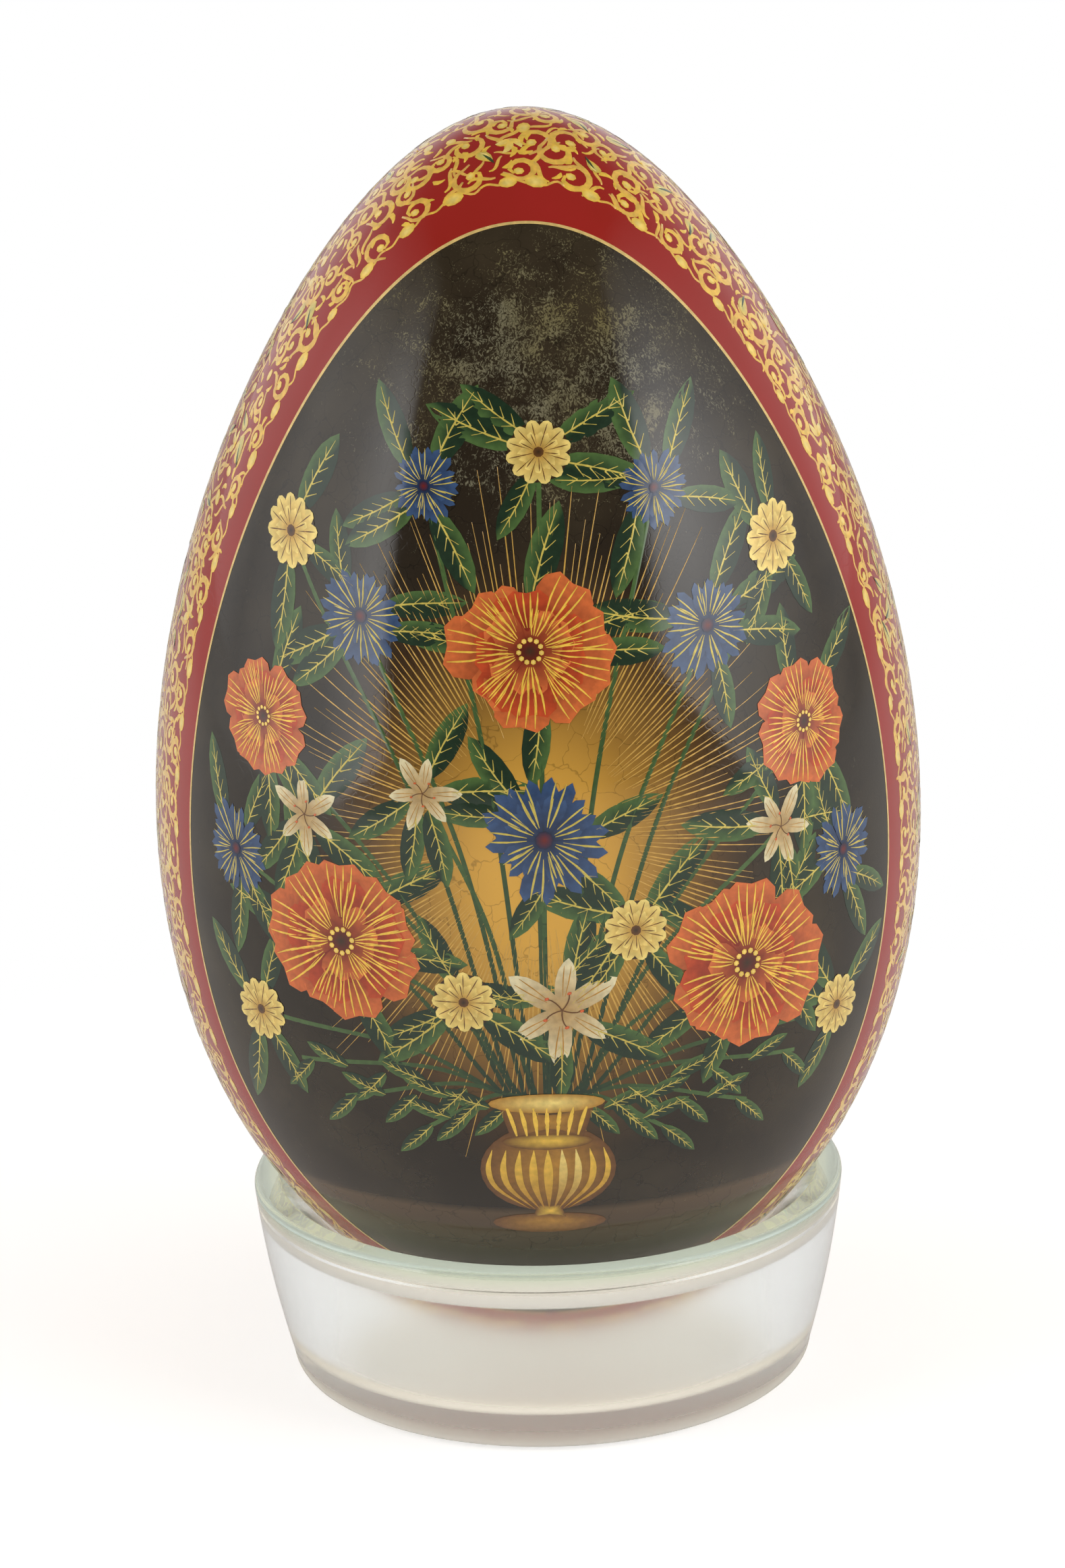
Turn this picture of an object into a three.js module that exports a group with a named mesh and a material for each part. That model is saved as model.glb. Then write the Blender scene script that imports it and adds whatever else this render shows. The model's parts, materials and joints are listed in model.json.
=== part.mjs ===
// A lacquered papier-mache Easter egg that stands loose in a pressed glass dish.
// Millimetres, +Z up, with the origin on the table under the middle of the dish.
// The egg is two turned half shells, glued over an inner hoop at the girth.
import * as THREE from 'three';

// Egg: outer form, blunt end down
const EGG_DIAMETER = 90;
const EGG_HEIGHT = 144;
const TIP_NARROWING = 0.18;
const END_NARROWING = 0.048;
const TIP_POINTING = 0.01;
const SHELL_WALL = 4;

// Hoop that lines the two half shells up and carries their glued joint
const HOOP_HEIGHT = 18;
const HOOP_WALL = 2.5;
const HOOP_REBATE = 1.2;
const GLUE_LINE = 0.2;

// Glass dish
const DISH_HEIGHT = 24;
const RIM_RADIUS = 35.3;
const RIM_WIDTH = 3.3;
const RIM_OUTER_ROUND = 0.9;
const RIM_INNER_ROUND = 0.5;
const WALL_BULGE = 0.45;
const FOOT_RADIUS = 31.3;
const HEEL_ROUND = 2.4;
const FOOT_RING_WIDTH = 5;
const FOOT_HOLLOW = 1.2;

// Seat of the egg in the dish
const SEAT_RADIUS = 28.5;
const SEAT_DEPTH = 3;
const SEAT_CLEARANCE = 0.3;
const SEAT_LIP = 0.6;
const WELL_CLEARANCE = 0.5;
const WELL_LEDGE = 3.5;
const WELL_FLOOR = 3.5;
const WELL_ROUND = 3;

// Fineness of the surfaces
const AROUND = 64;
const HALF_SHELL_STEPS = 16;
const CAVITY_STEPS = 11;
const SHOULDER_STEPS = 3;
const WALL_STEPS = 4;
const ROUND_STEPS = 3;
const FOOT_HOLLOW_STEPS = 4;

// Outline of an egg, from -PI/2 at the blunt end to PI/2 at the tip: a circle stretched to the
// egg's height, with each level narrowed a little more towards the tip
function narrowedCosine(angle) {
  const s = Math.sin(angle);
  return Math.cos(angle) * (1 - TIP_NARROWING * s - END_NARROWING * s * s - TIP_POINTING * s ** 3);
}

// Angle of the widest level, found by halving the step in which the width still grows
function findGirthAngle() {
  let low = -Math.PI / 2;
  let high = Math.PI / 2;
  for (let i = 0; i < 60; i += 1) {
    const a = low + (high - low) / 3;
    const b = high - (high - low) / 3;
    if (narrowedCosine(a) < narrowedCosine(b)) low = a;
    else high = b;
  }
  return (low + high) / 2;
}

const GIRTH_ANGLE = findGirthAngle();
const WIDTH_SCALE = EGG_DIAMETER / 2 / narrowedCosine(GIRTH_ANGLE);

// Point of the egg's outline, moved inset mm into the egg along the outline's normal
function eggPoint(angle, inset = 0) {
  const at = (a) => new THREE.Vector2(
    WIDTH_SCALE * narrowedCosine(a), EGG_HEIGHT / 2 * (1 + Math.sin(a)));
  const tiny = 1e-4;
  const along = at(angle + tiny).sub(at(angle - tiny)).normalize();
  const point = at(angle);
  return new THREE.Vector2(point.x - inset * along.y, point.y + inset * along.x);
}

// Angle in a stretch of the outline where a rising measure of the point reaches a value
function angleWhere(measure, value, low, high) {
  for (let i = 0; i < 50; i += 1) {
    const middle = (low + high) / 2;
    if (measure(middle) < value) low = middle;
    else high = middle;
  }
  return (low + high) / 2;
}

// Points of the outline between two angles, both ends included
function eggCurve(from, to, steps, inset = 0) {
  return Array.from({ length: steps + 1 }, (_, i) => eggPoint(from + (to - from) * i / steps, inset));
}

// Points of a quarter-like arc about a centre, in the plane of the outline
function arc(centreRadius, centreHeight, radius, from, to, steps) {
  return Array.from({ length: steps + 1 }, (_, i) => {
    const angle = from + (to - from) * i / steps;
    return new THREE.Vector2(centreRadius + radius * Math.cos(angle), centreHeight + radius * Math.sin(angle));
  });
}

const point = (radius, height) => new THREE.Vector2(radius, height);

// The outline is turned about the vertical axis, and its points run with the solid on their left
function turned(name, outline, height, material) {
  const onAxis = outline.map((p) => point(Math.abs(p.x) < 1e-3 ? 0 : p.x, p.y));
  const geometry = new THREE.LatheGeometry(onAxis, AROUND);
  geometry.rotateX(Math.PI / 2);
  const mesh = new THREE.Mesh(geometry, material);
  mesh.name = name;
  mesh.position.z = height;
  return mesh;
}

const lacquer = new THREE.MeshStandardMaterial({ color: '#9e1f2a', roughness: 0.16, metalness: 0 });
const paperBoard = new THREE.MeshStandardMaterial({ color: '#8a6a48', roughness: 0.85, metalness: 0 });
const pressedGlass = new THREE.MeshStandardMaterial({
  color: '#dfe8e0', roughness: 0.03, metalness: 0, transparent: true, opacity: 0.4 });

// The egg sinks into the dish until it meets the seat's edge
const SEAT_HEIGHT = DISH_HEIGHT - SEAT_DEPTH;
const SEAT_ANGLE = angleWhere(
  (a) => eggPoint(a, -SEAT_CLEARANCE).x, SEAT_RADIUS, -Math.PI / 2, GIRTH_ANGLE);
const EGG_BASE = SEAT_HEIGHT - eggPoint(SEAT_ANGLE, -SEAT_CLEARANCE).y;

const GIRTH = eggPoint(GIRTH_ANGLE);
const HOOP_RADIUS = GIRTH.x - SHELL_WALL + HOOP_REBATE;

// Blunt half: outer curve, joint face, rebate for the hoop, cavity
function makeLowerShell() {
  const face = GIRTH.y - GLUE_LINE / 2;
  const shoulder = GIRTH.y - HOOP_HEIGHT / 2 - GLUE_LINE;
  const edge = angleWhere((a) => eggPoint(a).y, face, -Math.PI / 2, Math.PI / 2);
  const cavity = angleWhere((a) => eggPoint(a, SHELL_WALL).y, shoulder, -Math.PI / 2, Math.PI / 2);
  return turned('lower_shell', [
    ...eggCurve(-Math.PI / 2, edge, HALF_SHELL_STEPS),
    point(HOOP_RADIUS + GLUE_LINE, face),
    point(HOOP_RADIUS + GLUE_LINE, shoulder),
    ...eggCurve(cavity, -Math.PI / 2, CAVITY_STEPS, SHELL_WALL),
  ], EGG_BASE, lacquer);
}

// Pointed half, glued to the other at the girth
function makeUpperShell() {
  const face = GIRTH.y + GLUE_LINE / 2;
  const shoulder = GIRTH.y + HOOP_HEIGHT / 2 + GLUE_LINE;
  const edge = angleWhere((a) => eggPoint(a).y, face, -Math.PI / 2, Math.PI / 2);
  const cavity = angleWhere((a) => eggPoint(a, SHELL_WALL).y, shoulder, -Math.PI / 2, Math.PI / 2);
  return turned('upper_shell', [
    ...eggCurve(Math.PI / 2, cavity, CAVITY_STEPS, SHELL_WALL),
    point(HOOP_RADIUS + GLUE_LINE, shoulder),
    point(HOOP_RADIUS + GLUE_LINE, face),
    ...eggCurve(edge, Math.PI / 2, HALF_SHELL_STEPS),
  ], EGG_BASE, lacquer);
}

// Hoop of the same board, half of it in each shell
function makeJointHoop() {
  const inner = HOOP_RADIUS - HOOP_WALL;
  const bottom = GIRTH.y - HOOP_HEIGHT / 2;
  const top = GIRTH.y + HOOP_HEIGHT / 2;
  return turned('joint_hoop', [
    point(inner, bottom),
    point(HOOP_RADIUS, bottom),
    point(HOOP_RADIUS, top),
    point(inner, top),
    point(inner, bottom),
  ], EGG_BASE, paperBoard);
}

// Dish: foot ring round a shallow hollow, slightly bellied wall, flat rim, seat, a shoulder that keeps
// clear of the egg, and the straight-walled well that its blunt end hangs in
function makeGlassDish() {
  const rimInner = RIM_RADIUS - RIM_WIDTH;
  const footOuter = FOOT_RADIUS - HEEL_ROUND;
  const footInner = footOuter - FOOT_RING_WIDTH;
  const hollowRadius = (footInner ** 2 + FOOT_HOLLOW ** 2) / (2 * FOOT_HOLLOW);
  const hollowAngle = Math.asin(footInner / hollowRadius);
  const wellRadius = SEAT_RADIUS - WELL_LEDGE;
  const shoulderTop = angleWhere((a) => eggPoint(a, -WELL_CLEARANCE).y + EGG_BASE,
    SEAT_HEIGHT - SEAT_LIP, -Math.PI / 2, GIRTH_ANGLE);
  const shoulderFoot = angleWhere((a) => eggPoint(a, -WELL_CLEARANCE).x,
    wellRadius, -Math.PI / 2, GIRTH_ANGLE);
  const wallHeight = DISH_HEIGHT - RIM_OUTER_ROUND - HEEL_ROUND;
  const wall = Array.from({ length: WALL_STEPS - 1 }, (_, i) => {
    const share = (i + 1) / WALL_STEPS;
    const belly = 4 * WALL_BULGE * share * (1 - share);
    return point(FOOT_RADIUS + (RIM_RADIUS - FOOT_RADIUS) * share + belly, HEEL_ROUND + wallHeight * share);
  });
  return turned('glass_dish', [
    ...arc(0, FOOT_HOLLOW - hollowRadius, hollowRadius,
      Math.PI / 2, Math.PI / 2 - hollowAngle, FOOT_HOLLOW_STEPS),
    ...arc(footOuter, HEEL_ROUND, HEEL_ROUND, -Math.PI / 2, 0, ROUND_STEPS),
    ...wall,
    ...arc(RIM_RADIUS - RIM_OUTER_ROUND, DISH_HEIGHT - RIM_OUTER_ROUND, RIM_OUTER_ROUND,
      0, Math.PI / 2, ROUND_STEPS),
    ...arc(rimInner + RIM_INNER_ROUND, DISH_HEIGHT - RIM_INNER_ROUND, RIM_INNER_ROUND,
      Math.PI / 2, Math.PI * 3 / 4, ROUND_STEPS),
    point(SEAT_RADIUS, SEAT_HEIGHT),
    ...eggCurve(shoulderTop, shoulderFoot, SHOULDER_STEPS, -WELL_CLEARANCE)
      .map((p) => point(p.x, p.y + EGG_BASE)),
    ...arc(wellRadius - WELL_ROUND, WELL_FLOOR + WELL_ROUND, WELL_ROUND, 0, -Math.PI / 2, ROUND_STEPS),
    point(0, WELL_FLOOR),
  ], 0, pressedGlass);
}

const eggOnDish = new THREE.Group();
eggOnDish.add(makeGlassDish(), makeLowerShell(), makeUpperShell(), makeJointHoop());

export default eggOnDish;
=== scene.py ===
"""Looks of a lacquered papier-mache Easter egg that stands in a pressed glass dish."""
import json
import math

import bmesh
import bpy
import numpy as np
from mathutils import Matrix, Vector

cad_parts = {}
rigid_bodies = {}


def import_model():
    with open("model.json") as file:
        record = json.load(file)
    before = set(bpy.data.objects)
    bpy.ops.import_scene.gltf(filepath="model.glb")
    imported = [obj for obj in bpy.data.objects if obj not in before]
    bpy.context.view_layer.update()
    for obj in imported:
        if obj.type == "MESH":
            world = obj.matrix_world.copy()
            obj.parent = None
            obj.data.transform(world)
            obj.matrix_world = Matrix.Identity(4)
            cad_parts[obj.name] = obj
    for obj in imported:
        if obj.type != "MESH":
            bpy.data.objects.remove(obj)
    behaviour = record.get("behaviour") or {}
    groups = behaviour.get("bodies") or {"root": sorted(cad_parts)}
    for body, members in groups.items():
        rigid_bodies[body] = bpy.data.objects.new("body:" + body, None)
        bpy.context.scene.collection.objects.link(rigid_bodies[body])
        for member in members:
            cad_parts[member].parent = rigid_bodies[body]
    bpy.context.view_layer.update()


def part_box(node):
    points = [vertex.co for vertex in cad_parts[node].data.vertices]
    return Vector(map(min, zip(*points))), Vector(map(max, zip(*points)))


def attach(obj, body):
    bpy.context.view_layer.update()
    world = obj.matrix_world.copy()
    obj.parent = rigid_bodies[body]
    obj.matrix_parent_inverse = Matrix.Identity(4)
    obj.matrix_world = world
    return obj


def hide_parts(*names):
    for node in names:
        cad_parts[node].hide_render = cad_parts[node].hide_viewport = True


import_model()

MM = 0.001

# Egg, from the frame's boxes: the outline's three shaping numbers and the wall are the part's own
LOWER_LOW, LOWER_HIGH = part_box("lower_shell")
UPPER_LOW, UPPER_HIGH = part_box("upper_shell")
EGG_BASE = LOWER_LOW[2]
EGG_HEIGHT = UPPER_HIGH[2] - EGG_BASE
EGG_RADIUS = UPPER_HIGH[0]
TIP_NARROWING = 0.18
END_NARROWING = 0.048
TIP_POINTING = 0.01
SHELL_WALL = 4 * MM

# Front panel: a plane, tilted a little, cuts its outline out of the egg, and a plain red band follows it
PANEL_DEPTH = 23.3 * MM
PANEL_TILT = 0.043
RED_BAND = 3.2 * MM

# Painted ground of the panel, in mm: middles are across and up from the egg's base, and the panel's
# edge and the ledge's are soft by so much to either side
PANEL_EDGE = 0.05
GLOW_MIDDLE = (0, 66)
GLOW_RADII = (27, 38)
WEAR_MIDDLE = (3, 120)
WEAR_RADII = (29, 21)
LEDGE_TOP = 24
LEDGE_EDGE = 0.5
LEDGE_FOOT = 14

# Paint, in mm: the narrowest stroke, how far a stroke's edges and a petal's rim lie under its ridge or
# dome, its root, and the longest step that follows the egg's curve without sinking below it
NARROWEST_STROKE = 0.03
STROKE_RIDGE = 0.02
PETAL_DOME = 0.02
ROOT = -0.05
LONGEST_STEP = 2.0

# Scrollwork on the red, in mm: a row along the band, an even scatter and fillers in its gaps, each
# with a number of tries, a tendril's sideways spread, and the height on the egg where it all ends
EDGE_INSET = 0.75
ROW_INSET = 2.1
ROW_SPACING = 3.2
SCATTER_INSET = 4.3
SCATTER_SPACING = 2.75
SCATTER_TRIES = 60000
FILLER_INSET = 1.2
FILLER_SPACING = 1.28
FILLER_TRIES = 50000
TENDRIL_SPREAD = 3.2
SCROLL_END = 6

# Glass dish, from the frame's box: its other sizes are the part's own
DISH_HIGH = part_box("glass_dish")[1]
DISH_HEIGHT = DISH_HIGH[2]
RIM_RADIUS = DISH_HIGH[0]
RIM_WIDTH = 3.3 * MM
RIM_OUTER_ROUND = 0.9 * MM
RIM_INNER_ROUND = 0.5 * MM
WALL_BULGE = 0.45 * MM
FOOT_RADIUS = 31.3 * MM
HEEL_ROUND = 2.4 * MM
FOOT_RING_WIDTH = 5 * MM
FOOT_HOLLOW = 1.2 * MM
SEAT_RADIUS = 28.5 * MM
SEAT_DEPTH = 3 * MM
SEAT_LIP = 0.6 * MM
WELL_CLEARANCE = 0.5 * MM
WELL_RADIUS = 25 * MM
WELL_FLOOR = 3.5 * MM
WELL_ROUND = 3 * MM

# Mould seam, its drop below the rim, its depth and half its width, and how far below the rim the
# green tint starts and is full
MOULD_SEAM_DROP = 2.4 * MM
MOULD_SEAM_DEPTH = 0.2 * MM
MOULD_SEAM_HALF = 0.25 * MM
RIM_TINT_START = 2.4 * MM
RIM_TINT_END = 0.6 * MM

# Fineness of the turned surfaces, and the angles in degrees from which an edge stays sharp
EGG_AROUND = 256
EGG_FORM_STEPS = 160
LOWER_STEPS = 69
UPPER_STEPS = 89
LOWER_CAVITY_STEPS = 23
UPPER_CAVITY_STEPS = 27
DISH_AROUND = 192
SHELL_CREASE = 30
DISH_CREASE = 34
PAINT_CREASE = 60

# Camera, at the photograph's angle
CAMERA_DISTANCE = 700 * MM
CAMERA_ELEVATION = math.radians(17.55)
CAMERA_ROLL = math.radians(-1.53)
CAMERA_AIM = Vector((-0.63, 0, 71.9)) * MM
CAMERA_LENS = 136.4

# Softboxes, in metres: the bottom and top of the inner edge, the width and the power in watts, then
# pairs of place and brightness outwards from that edge and upwards from the bottom
LEFT_SOFTBOX = ((-0.8, -0.84, 0.12), (-0.8, -0.46, 1.31), 1.35, 15.0)
LEFT_OUTWARDS = ((0.0, 0.0), (0.07, 0.9), (0.16, 1.0), (0.35, 0.56), (0.62, 0.38), (0.76, 0.14),
                 (1.0, 0.0))
LEFT_UPWARDS = ((0.0, 0.9), (0.5, 1.0), (0.62, 0.75), (0.7, 0.45), (0.82, 0.2), (1.0, 0.0))
RIGHT_SOFTBOX = ((0.8, -1.09, 0.40), (0.8, -0.50, 1.50), 1.45, 21.5)
RIGHT_OUTWARDS = ((0.0, 0.0), (0.13, 0.9), (0.2, 1.0), (0.34, 1.0), (0.53, 0.64), (0.74, 0.27),
                  (0.86, 0.08), (1.0, 0.0))
RIGHT_UPWARDS = ((0.0, 0.6), (0.2, 0.85), (0.28, 1.0), (0.4, 1.0), (0.5, 0.68), (0.6, 0.42),
                 (0.72, 0.22), (1.0, 0.0))

# Floor card: its radius, and where it fades into the white surroundings
FLOOR_RADIUS = 6
FADE_START = 50 * MM
FADE_END = 160 * MM

chance = np.random.default_rng(1893)


def colour(code, alpha=1.0):
    """Linear colour from an sRGB hex code."""
    parts = [int(code[i:i + 2], 16) / 255 for i in (1, 3, 5)]
    linear = [p / 12.92 if p <= 0.04045 else ((p + 0.055) / 1.055) ** 2.4 for p in parts]
    return (*linear, alpha)


def add_node(tree, kind, inputs=None, **settings):
    """One node with its settings; inputs maps a socket's name or number to a link or a value."""
    node = tree.nodes.new(kind)
    for key, value in settings.items():
        setattr(node, key, value)
    for key, value in (inputs or {}).items():
        if isinstance(value, bpy.types.NodeSocket):
            tree.links.new(value, node.inputs[key])
        else:
            node.inputs[key].default_value = value
    return node


def new_material(name):
    """A named material with an empty node tree."""
    material = bpy.data.materials.new(name)
    material.use_nodes = True
    material.node_tree.nodes.clear()
    return material, material.node_tree


def link(thing):
    """Puts an object in the scene."""
    bpy.context.scene.collection.objects.link(thing)
    return thing


def give_attribute(mesh, name, kind, values):
    """Keeps one value for each point of a mesh under a name."""
    field = {"FLOAT_COLOR": "color", "FLOAT_VECTOR": "vector"}.get(kind, "value")
    mesh.attributes.new(name, kind, "POINT").data.foreach_set(field, np.ravel(values))


# The egg's form

def narrowed_cosine(angle):
    """Half width of the egg's outline, before it is scaled: a circle's, narrowed towards the tip."""
    s = np.sin(angle)
    return np.cos(angle) * (1 - TIP_NARROWING * s - END_NARROWING * s ** 2 - TIP_POINTING * s ** 3)


GIRTH_ANGLE = max(np.linspace(-0.6, 0.2, 8001), key=narrowed_cosine)
WIDTH_SCALE = EGG_RADIUS / narrowed_cosine(GIRTH_ANGLE)


def egg_outline(angle, inset=0.0):
    """Radius and height of the egg's outline at an angle from -pi/2, blunt, to pi/2, the tip, moved
    into the egg by an inset."""
    def at(a):
        return np.array([WIDTH_SCALE * narrowed_cosine(a), EGG_BASE + EGG_HEIGHT / 2 * (1 + np.sin(a))])
    tiny = 1e-4
    along = at(angle + tiny) - at(angle - tiny)
    along = along / np.hypot(*along)
    radius, height = at(angle)
    return radius - inset * along[1], height + inset * along[0]


OUTLINE_ANGLES = np.linspace(-math.pi / 2, math.pi / 2, 4001)
OUTLINE_RADII, OUTLINE_HEIGHTS = egg_outline(OUTLINE_ANGLES)
OUTLINE_STEPS = np.hypot(np.diff(OUTLINE_RADII, prepend=0), np.diff(OUTLINE_HEIGHTS, prepend=EGG_BASE))
OUTLINE_ARCS = np.cumsum(OUTLINE_STEPS)
GIRTH_HEIGHT = egg_outline(GIRTH_ANGLE)[1]
GIRTH_ARC = np.interp(GIRTH_HEIGHT, OUTLINE_HEIGHTS, OUTLINE_ARCS)


def radius_at(height):
    """Radius of the egg at a height."""
    return np.interp(height, OUTLINE_HEIGHTS, OUTLINE_RADII)


def on_egg(turn, height):
    """Points of the egg at angles from the front, positive towards +X, and heights."""
    radius = radius_at(height)
    return np.stack([radius * np.sin(turn), -radius * np.cos(turn), height + 0 * turn], axis=-1)


def egg_normal(points):
    """Outward normals of the egg at points on it."""
    step = 0.2 * MM
    height = np.clip(points[:, 2], EGG_BASE + step, EGG_BASE + EGG_HEIGHT - step)
    slope = (radius_at(height + step) - radius_at(height - step)) / (2 * step)
    flat = np.hypot(points[:, 0], points[:, 1]) + 1e-9
    normal = np.stack([points[:, 0] / flat, points[:, 1] / flat, -slope], axis=-1)
    return normal / np.linalg.norm(normal, axis=1, keepdims=True)


def panel_reach(points):
    """How far points lie inside the panel's cutting plane; negative is outside the panel."""
    return -points[:, 1] - PANEL_DEPTH + PANEL_TILT * (points[:, 2] - EGG_BASE)


def panel_outline(inset, spacing):
    """Evenly spaced places along the panel's outline, which an inset below 0 widens."""
    heights = np.linspace(EGG_BASE + 2 * MM, EGG_BASE + EGG_HEIGHT - 0.5 * MM, 6001)
    radii = radius_at(heights)
    depths = PANEL_DEPTH + inset - PANEL_TILT * (heights - EGG_BASE)
    kept = radii > depths
    across = np.sqrt(radii[kept] ** 2 - depths[kept] ** 2)
    right = np.stack([across, -depths[kept], heights[kept]], axis=-1)
    loop = np.concatenate([right, right[::-1] * (-1, 1, 1)])
    arcs = np.concatenate([[0], np.cumsum(np.linalg.norm(np.diff(loop, axis=0), axis=1))])
    marks = np.linspace(0, arcs[-1], round(arcs[-1] / spacing) + 1)
    return np.stack([np.interp(marks, arcs, loop[:, i]) for i in range(3)], axis=-1)


def panel_points(places):
    """Points of the egg for places in mm: X is the way round from the front, Y the way up, level with
    the heights above the egg's base at the girth."""
    arcs = places[:, 1] * MM + GIRTH_ARC - (GIRTH_HEIGHT - EGG_BASE)
    heights = np.interp(arcs, OUTLINE_ARCS, OUTLINE_HEIGHTS)
    return on_egg(places[:, 0] * MM / radius_at(heights), heights)


# Geometry Nodes trees

def plain_mesh(name, source, tree, settings):
    """Object whose mesh is what a Geometry Nodes tree makes of the source mesh."""
    thing = link(bpy.data.objects.new(name, source))
    modifier = thing.modifiers.new("make", "NODES")
    modifier.node_group = tree
    sockets = {item.name: item.identifier for item in tree.interface.items_tree
               if item.item_type == "SOCKET" and item.in_out == "INPUT"}
    for label, value in settings.items():
        modifier[sockets[label]] = value
    graph = bpy.context.evaluated_depsgraph_get()
    made = bpy.data.meshes.new_from_object(thing.evaluated_get(graph))
    made.name = name
    thing.modifiers.clear()
    thing.data = made
    return thing


def new_tree(name, inputs):
    """Geometry Nodes tree with a geometry in and out and further named inputs."""
    tree = bpy.data.node_groups.new(name, "GeometryNodeTree")
    tree.interface.new_socket("Geometry", in_out="INPUT", socket_type="NodeSocketGeometry")
    for label, kind in inputs:
        tree.interface.new_socket(label, in_out="INPUT", socket_type=kind)
    tree.interface.new_socket("Geometry", in_out="OUTPUT", socket_type="NodeSocketGeometry")
    return tree, tree.nodes.new("NodeGroupInput").outputs


def make_turning_tree():
    """Turns an outline, the source mesh's points in the XZ plane, about the Z axis."""
    tree, given = new_tree("turned on a lathe", [
        ("Around", "NodeSocketInt"), ("Material", "NodeSocketMaterial")])
    count = add_node(tree, "GeometryNodeAttributeDomainSize", {
        0: given["Geometry"]}).outputs["Point Count"]
    columns = add_node(tree, "ShaderNodeMath", {0: given["Around"], 1: 1.0}, operation="ADD").outputs[0]
    grid = add_node(tree, "GeometryNodeMeshGrid", {
        "Size X": 1.0, "Size Y": 1.0, "Vertices X": columns, "Vertices Y": count}).outputs["Mesh"]
    index = add_node(tree, "GeometryNodeInputIndex").outputs[0]
    row = add_node(tree, "ShaderNodeMath", {0: index, 1: count}, operation="MODULO").outputs[0]
    share = add_node(tree, "ShaderNodeMath", {0: index, 1: count}, operation="DIVIDE").outputs[0]
    column = add_node(tree, "ShaderNodeMath", {0: share}, operation="FLOOR").outputs[0]
    turn = add_node(tree, "ShaderNodeMath", {
        0: column, 1: given["Around"]}, operation="DIVIDE").outputs[0]
    angle = add_node(tree, "ShaderNodeMath", {0: turn, 1: 2 * math.pi}, operation="MULTIPLY").outputs[0]
    place = add_node(tree, "GeometryNodeInputPosition").outputs[0]
    outline = add_node(tree, "GeometryNodeSampleIndex", {
        "Geometry": given["Geometry"], "Value": place, "Index": row}, data_type="FLOAT_VECTOR")
    turned_place = add_node(tree, "ShaderNodeVectorRotate", {
        "Vector": outline.outputs[0], "Angle": angle}, rotation_type="Z_AXIS").outputs[0]
    placed = add_node(tree, "GeometryNodeSetPosition", {
        "Geometry": grid, "Position": turned_place}).outputs[0]
    closed = add_node(tree, "GeometryNodeMergeByDistance", {
        "Geometry": placed, "Distance": 0.001 * MM}).outputs[0]
    single = add_node(tree, "GeometryNodeRealizeInstances", {"Geometry": closed}).outputs[0]
    finish = add_node(tree, "GeometryNodeSetMaterial", {
        "Geometry": single, "Material": given["Material"]}).outputs[0]
    add_node(tree, "NodeGroupOutput", {"Geometry": finish})
    return tree


def make_painting_tree():
    """Lays a motif on the egg at each source point, bent to the egg's surface."""
    tree, given = new_tree("motifs laid on the egg", [
        ("Motifs", "NodeSocketCollection"), ("Egg", "NodeSocketObject"),
        ("Material", "NodeSocketMaterial")])
    kinds = {"motif": "INT", "facing": "FLOAT_VECTOR", "heading": "FLOAT_VECTOR",
             "size": "FLOAT_VECTOR", "lift": "FLOAT"}
    kept = {name: add_node(tree, "GeometryNodeInputNamedAttribute", {"Name": name},
                           data_type=kind).outputs[0] for name, kind in kinds.items()}
    rotation = add_node(tree, "FunctionNodeAxesToRotation", {
        "Primary Axis": kept["facing"], "Secondary Axis": kept["heading"]},
        primary_axis="Z", secondary_axis="X").outputs[0]
    motifs = add_node(tree, "GeometryNodeCollectionInfo", {
        "Collection": given["Motifs"], "Separate Children": True, "Reset Children": True}).outputs[0]
    laid = add_node(tree, "GeometryNodeInstanceOnPoints", {
        "Points": given["Geometry"], "Instance": motifs, "Pick Instance": True,
        "Instance Index": kept["motif"], "Rotation": rotation, "Scale": kept["size"]}).outputs[0]
    real = add_node(tree, "GeometryNodeRealizeInstances", {"Geometry": laid}).outputs[0]
    egg = add_node(tree, "GeometryNodeObjectInfo", {"Object": given["Egg"]}).outputs["Geometry"]
    place = add_node(tree, "GeometryNodeInputPosition").outputs[0]
    nearest = add_node(tree, "GeometryNodeProximity", {
        "Geometry": egg, "Sample Position": place}, target_element="FACES").outputs["Position"]
    normal = add_node(tree, "GeometryNodeInputNormal").outputs[0]
    outward = add_node(tree, "GeometryNodeSampleNearestSurface", {
        "Mesh": egg, "Value": normal, "Sample Position": nearest}, data_type="FLOAT_VECTOR").outputs[0]
    raised = add_node(tree, "ShaderNodeVectorMath", {
        0: outward, "Scale": kept["lift"]}, operation="SCALE").outputs[0]
    bent = add_node(tree, "ShaderNodeVectorMath", {0: nearest, 1: raised}, operation="ADD").outputs[0]
    wrapped = add_node(tree, "GeometryNodeSetPosition", {"Geometry": real, "Position": bent}).outputs[0]
    finish = add_node(tree, "GeometryNodeSetMaterial", {
        "Geometry": wrapped, "Material": given["Material"]}).outputs[0]
    add_node(tree, "NodeGroupOutput", {"Geometry": finish})
    return tree


TURNING_TREE = make_turning_tree()
PAINTING_TREE = make_painting_tree()


def turned(name, outline, around, material, crease=SHELL_CREASE):
    """Closed solid of revolution from an outline of radius and height pairs."""
    source = bpy.data.meshes.new(name)
    source.from_pydata([(r, 0, z) for r, z in outline], [], [])
    thing = plain_mesh(name, source, TURNING_TREE, {"Around": around, "Material": material})
    shell = bmesh.new()
    shell.from_mesh(thing.data)
    bmesh.ops.recalc_face_normals(shell, faces=shell.faces)
    shell.to_mesh(thing.data)
    shell.free()
    thing.data.shade_smooth()
    thing.data.set_sharp_from_angle(angle=math.radians(crease))
    return thing


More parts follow.
